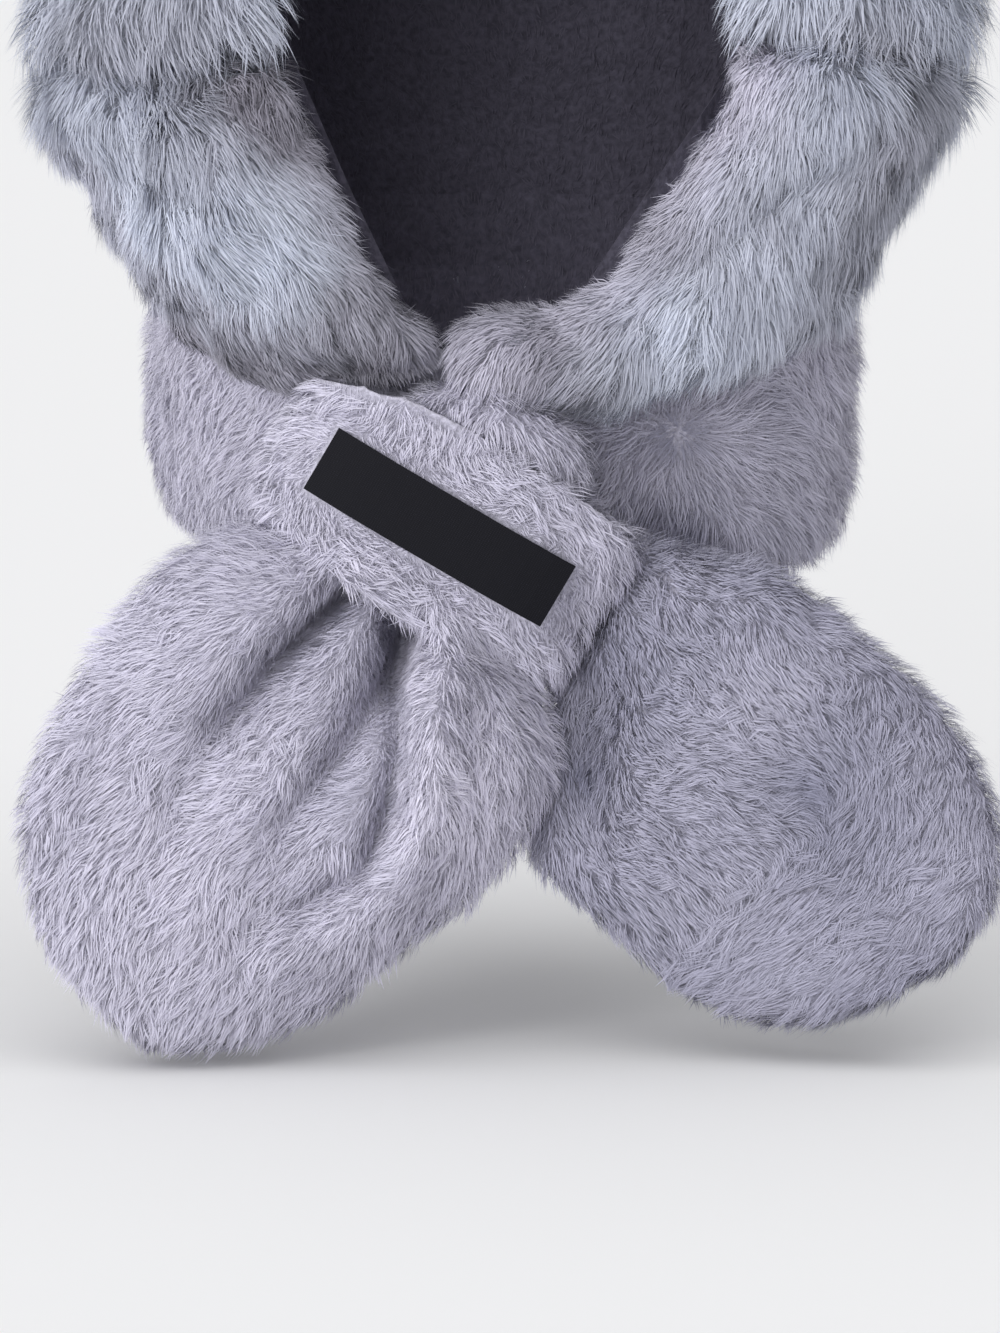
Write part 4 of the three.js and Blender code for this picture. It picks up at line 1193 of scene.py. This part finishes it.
class HOODSCARF_OT_cheeks(bpy.types.Operator):
    """Makes the deep fur rolls down both cheeks"""

    bl_idname = "hoodscarf.cheeks"
    bl_label = "Cheek fur"

    def execute(self, context):
        # Past the shades, how much darker each roll is by the face: its sheared mauve, and painted
        # shade, more on the left in the hollow under the brim
        rolls = (("left", LEFT_TRIM_OUTLINE, LEFT_TRIM_FLOW, LEFT_TRIM_FOLDS, LEFT_TRIM_PUFFS,
                  LEFT_TRIM_PAINTED_SHADE, (), 1.15, 51),
                 ("right", RIGHT_TRIM_OUTLINE, RIGHT_TRIM_FLOW, RIGHT_TRIM_FOLDS, RIGHT_TRIM_PUFFS,
                  RIGHT_TRIM_PAINTED_SHADE, RIGHT_TRIM_LAVENDER, 0.65, 61))
        for side, outline, flow, folds, puffs, shades, lavenders, dark, seed in rolls:
            skin = skin_of(f"cheek_trim_{side}", f"cheek_{side}_backing", CHEEK)
            sink(skin, CHEEK.sink)
            if side == "left":
                held_within(skin, LEFT_TRIM_TOP, CHEEK.grain)
            held_within(skin, outline, CHEEK.grain)
            puff_out(skin, puffs)
            fold_in(skin, folds)
            tufted(skin, height=0.0020, size=0.026, seed=seed)
            finish_skin(skin, f"cheek_trim_{side}", fur_backing(), CHEEK.fill)
            edge = face_edge_trim(side)

            def mauve_and_painted_shade(places, normals, edge=edge, seed=seed, shades=shades, dark=dark):
                """Darker where the fur is sheared, partly its own mauve and partly painted shade, in
                patches, and with painted shade and painted light at the given shades.
                """
                patch = smooth_noise(places, size=0.075, seed=seed + 5)
                sheared_and_painted_shade = np.clip(dark * (1 - edge(places, normals)) + 0.20 + 0.34 * patch, 0, 0.75)
                return np.minimum(sheared_and_painted_shade + 0.75 * shaded(places, normals, shades), MOST_MIX_SHARE)

            def lavender(places, normals, edge=edge, lavenders=lavenders):
                """The plush's colour where the fur is sheared, and at the given places."""
                near_edge = np.clip((0.84 - edge(places, normals)) / 0.34, 0, 1)
                return np.minimum(near_edge + shaded(places, normals, lavenders), MOST_MIX_SHARE)

            grow(f"cheek_{side}_fur", skin, DEEP, flow, CHEEK.share, seed + 1, deep_pile(),
                 scale=settings().fur_scale, trim_length=edge, reach=52.0, tint=mauve_and_painted_shade,
                 mild=lavender)
        return {"FINISHED"}


def fold_trim(folds):
    """Share of the pile's full length: pressed short inside the deep folds, so that they stay open."""
    deep = [fold for fold in folds if fold.depth > DEEP_FOLD]

    def share(places, normals):
        spots = photo_places(places)
        kept = np.ones(len(places))
        for fold in deep:
            near, _, along, _ = path_place(spots, fold.path)
            fade = np.clip(1.4 - along, 0, 1)
            kept = np.minimum(kept, 1 - PRESSED * fade * bell(near, 1.3 * fold.width))
        return np.where(normals[:, 1] < 0.2, kept, 1.0)

    return share


def face_edge_trim(side):
    """Share of the fur's full length: shorter beside the face opening, where it is sheared."""
    edge = LEFT_FACE_EDGE if side == "left" else RIGHT_FACE_EDGE

    def share(places, normals):
        spots = photo_places(places)
        near = path_place(spots, edge)[0]
        kept = SHEARED + (1 - SHEARED) * climb(near, 0.004, 0.030)
        if side == "left":
            below, hem_side, _, _ = path_place(spots, LEFT_TRIM_HEM)
            kept = np.where(hem_side < 0, np.minimum(kept, SHEARED), kept)
            above = (hem_side > 0) & (below < HEM_WIDE)
            kept = np.where(above, np.minimum(kept, HEM_LENGTH), kept)
        return kept

    return share


class HOODSCARF_OT_collar(bpy.types.Operator):
    """Makes the scarf where it goes round the neck"""

    bl_idname = "hoodscarf.collar"
    bl_label = "Neck"

    def execute(self, context):
        skin = skin_of("neck_collar", "collar_backing", NECK)
        sink(skin, NECK.sink)
        puff_out(skin, COLLAR_PUFFS)
        fold_in(skin, COLLAR_FOLDS)
        tufted(skin, height=0.0012, size=0.030, seed=71)
        finish_skin(skin, "neck_collar", plush_backing(), NECK.fill)

        def outside(places, normals):
            outward = (places * normals)[:, :2].sum(1)
            return np.where((outward > 0) | (normals[:, 2] < -0.3), 1.0, 0.02)

        def shorter_left(places, normals):
            return np.where(places[:, 0] < -0.03, 0.60, 0.92)

        # The neck's right part is darker, painted shade for light from the left; painted shade at its
        # star, hem and folds
        grow("collar_pile", skin, NECK_PLUSH, COLLAR_FLOW, NECK.share, 72, plush_pile(),
             where=outside, scale=settings().pile_scale, reach=48.0, trim_length=shorter_left,
             tint=painted_shade_and_patches(COLLAR_PAINTED_SHADE, side=0.03, amount=0.24), burst=NECK_BURST)
        return {"FINISHED"}


class HOODSCARF_OT_loop(bpy.types.Operator):
    """Makes the padded loop that holds the other end"""

    bl_idname = "hoodscarf.loop"
    bl_label = "Loop"

    def execute(self, context):
        skin = skin_of("keeper_loop", "loop_pad", LOOP)
        near = label_distance(vertex_places(skin.data))
        sink(skin, LABEL_SINK + LOOP.sink * climb(near, 0, 0.006))
        puff_out(skin, LOOP_PUFFS)
        fold_in(skin, LOOP_FOLDS)
        finish_skin(skin, "keeper_loop", plush_backing(), LOOP.fill)

        def clear_of_label(places, normals):
            return (label_distance(places) > 0.0006) | (normals[:, 1] > -0.2)

        def cropped_at_label(places, normals):
            return 0.28 + 0.62 * climb(label_distance(places), 0.001, 0.008)

        # Painted light low on the loop and painted shade at its right end
        grow("loop_pile", skin, LOOP_PLUSH, LOOP_FLOW, LOOP.share, 82, plush_pile(),
             root_mask=clear_of_label, scale=settings().pile_scale, reach=40.0,
             trim_length=cropped_at_label, tint=painted_shade_and_patches(LOOP_PAINTED_SHADE))
        return {"FINISHED"}


def label_frame():
    """Middle of the label and unit vectors along and across it, in the plane of the front."""
    places = vertex_places(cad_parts["label"].data)
    middle = (places.min(0) + places.max(0)) / 2
    flat = (places - middle)[:, [0, 2]]
    _, _, ways = np.linalg.svd(flat, full_matrices=False)
    along = ways[0] * np.sign(ways[0][0])
    across = np.array([-along[1], along[0]])
    long_half = np.abs(flat @ along).max()
    wide_half = np.abs(flat @ across).max()
    return middle, along, across, long_half, wide_half


def label_distance(points):
    """How far points lie outside the label's outline as seen from the front, in metres."""
    middle, along, across, long_half, wide_half = label_frame()
    flat = (points - middle)[:, [0, 2]]
    past = np.stack([np.abs(flat @ along) - long_half, np.abs(flat @ across) - wide_half], 1)
    near = np.linalg.norm(np.maximum(past, 0), axis=1)
    return np.where(points[:, 1] < middle[1] + 0.03, near, 1.0)


class HOODSCARF_OT_label(bpy.types.Operator):
    """Finishes the bare woven tag"""

    bl_idname = "hoodscarf.label"
    bl_label = "Tag"

    def execute(self, context):
        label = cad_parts["label"]
        wear(label, kept_material("woven tag", woven_material))
        return {"FINISHED"}


class HOODSCARF_OT_ends(bpy.types.Operator):
    """Makes the two wide filled ends of the scarf"""

    bl_idname = "hoodscarf.ends"
    bl_label = "Scarf ends"

    def execute(self, context):
        # Painted shade in each end's creases and hollows, painted light on its lobes; the right end is
        # darker all over, painted shade for light from the left
        ends = (("left", LEFT_END_FLOW, LEFT_END_FOLDS, LEFT_END_PUFFS,
                 painted_shade_and_patches(LEFT_END_PAINTED_SHADE), 91),
                ("right", RIGHT_END_FLOW, RIGHT_END_FOLDS, RIGHT_END_PUFFS,
                 painted_shade_and_patches(RIGHT_END_PAINTED_SHADE, side=0.0, amount=0.90), 101))
        for side, flow, folds, puffs, shade, seed in ends:
            skin = skin_of(f"scarf_end_{side}", f"end_{side}_pad", END)
            filled(skin, END_PRESSURE)
            sink(skin, END.sink)
            puff_out(skin, puffs)
            fold_in(skin, folds)
            relax(skin, 1)
            finish_skin(skin, f"scarf_end_{side}", plush_backing(), END.fill)
            grow(f"end_{side}_pile", skin, PLUSH, flow, END.share, seed, plush_pile(),
                 scale=settings().pile_scale, trim_length=fold_trim(folds), reach=66.0, tint=shade)
        return {"FINISHED"}


class HOODSCARF_OT_stage(bpy.types.Operator):
    """Sets the pale floor, the soft studio light and the camera of the photograph"""

    bl_idname = "hoodscarf.stage"
    bl_label = "Stage"

    def execute(self, context):
        scene = context.scene
        scene.view_settings.view_transform = "Standard"
        back, _, _, place = camera_axes()
        camera = link("camera", bpy.data.cameras.new("camera"))
        camera.data.lens = LENS
        camera.data.sensor_width = SENSOR
        camera.location = place
        camera.rotation_euler = (-back).to_track_quat("-Z", "Y").to_euler()
        scene.camera = camera

        work = bmesh.new()
        bmesh.ops.create_grid(work, x_segments=1, y_segments=1, size=FLOOR_HALF)
        lowest = Vector((0.0, 0.0, CAD_BOX[0].z - FLOOR_GAP))
        bmesh.ops.translate(work, verts=work.verts, vec=lowest)
        floor = link("floor", bpy.data.meshes.new("floor"))
        work.to_mesh(floor.data)
        work.free()
        wear(floor, new_material("pale paper", PAPER, 0.9)[0])

        world = bpy.data.worlds.new("studio")
        world.use_nodes = True
        background = world.node_tree.nodes["Background"]
        background.inputs["Color"].default_value = (*STUDIO, 1.0)
        background.inputs["Strength"].default_value = STUDIO_POWER
        scene.world = world
        for name, spread, power, spot in LAMPS:
            lamp = link(name, bpy.data.lights.new(name, "SUN"))
            lamp.data.angle = math.radians(spread)
            lamp.data.energy = power
            lamp.location = spot
            aim = LAMP_AIM - lamp.location
            lamp.rotation_euler = aim.to_track_quat("-Z", "Y").to_euler()
        return {"FINISHED"}


class HOODSCARF_PT_panel(bpy.types.Panel):
    """Lists the settings and the pieces of the hood scarf"""

    bl_idname = "HOODSCARF_PT_panel"
    bl_label = "Hood scarf"
    bl_space_type = "VIEW_3D"
    bl_region_type = "UI"
    bl_category = "Hood scarf"

    def draw(self, context):
        for name in HoodScarfSettings.__annotations__:
            self.layout.prop(context.scene.hood_scarf, name)
        for operator in OPERATORS:
            self.layout.operator(operator.bl_idname)


OPERATORS = (
    HOODSCARF_OT_stage,
    HOODSCARF_OT_lining,
    HOODSCARF_OT_shell,
    HOODSCARF_OT_ears,
    HOODSCARF_OT_brim,
    HOODSCARF_OT_cheeks,
    HOODSCARF_OT_collar,
    HOODSCARF_OT_loop,
    HOODSCARF_OT_label,
    HOODSCARF_OT_ends,
)
CLASSES = (HoodScarfSettings, *OPERATORS, HOODSCARF_PT_panel)


def register():
    for made in CLASSES:
        bpy.utils.register_class(made)
    bpy.types.Scene.hood_scarf = PointerProperty(type=HoodScarfSettings)


def unregister():
    del bpy.types.Scene.hood_scarf
    for made in reversed(CLASSES):
        bpy.utils.unregister_class(made)


def main():
    register()
    for operator in OPERATORS:
        area, name = operator.bl_idname.split(".")
        getattr(getattr(bpy.ops, area), name)()


if __name__ == "__main__":
    main()
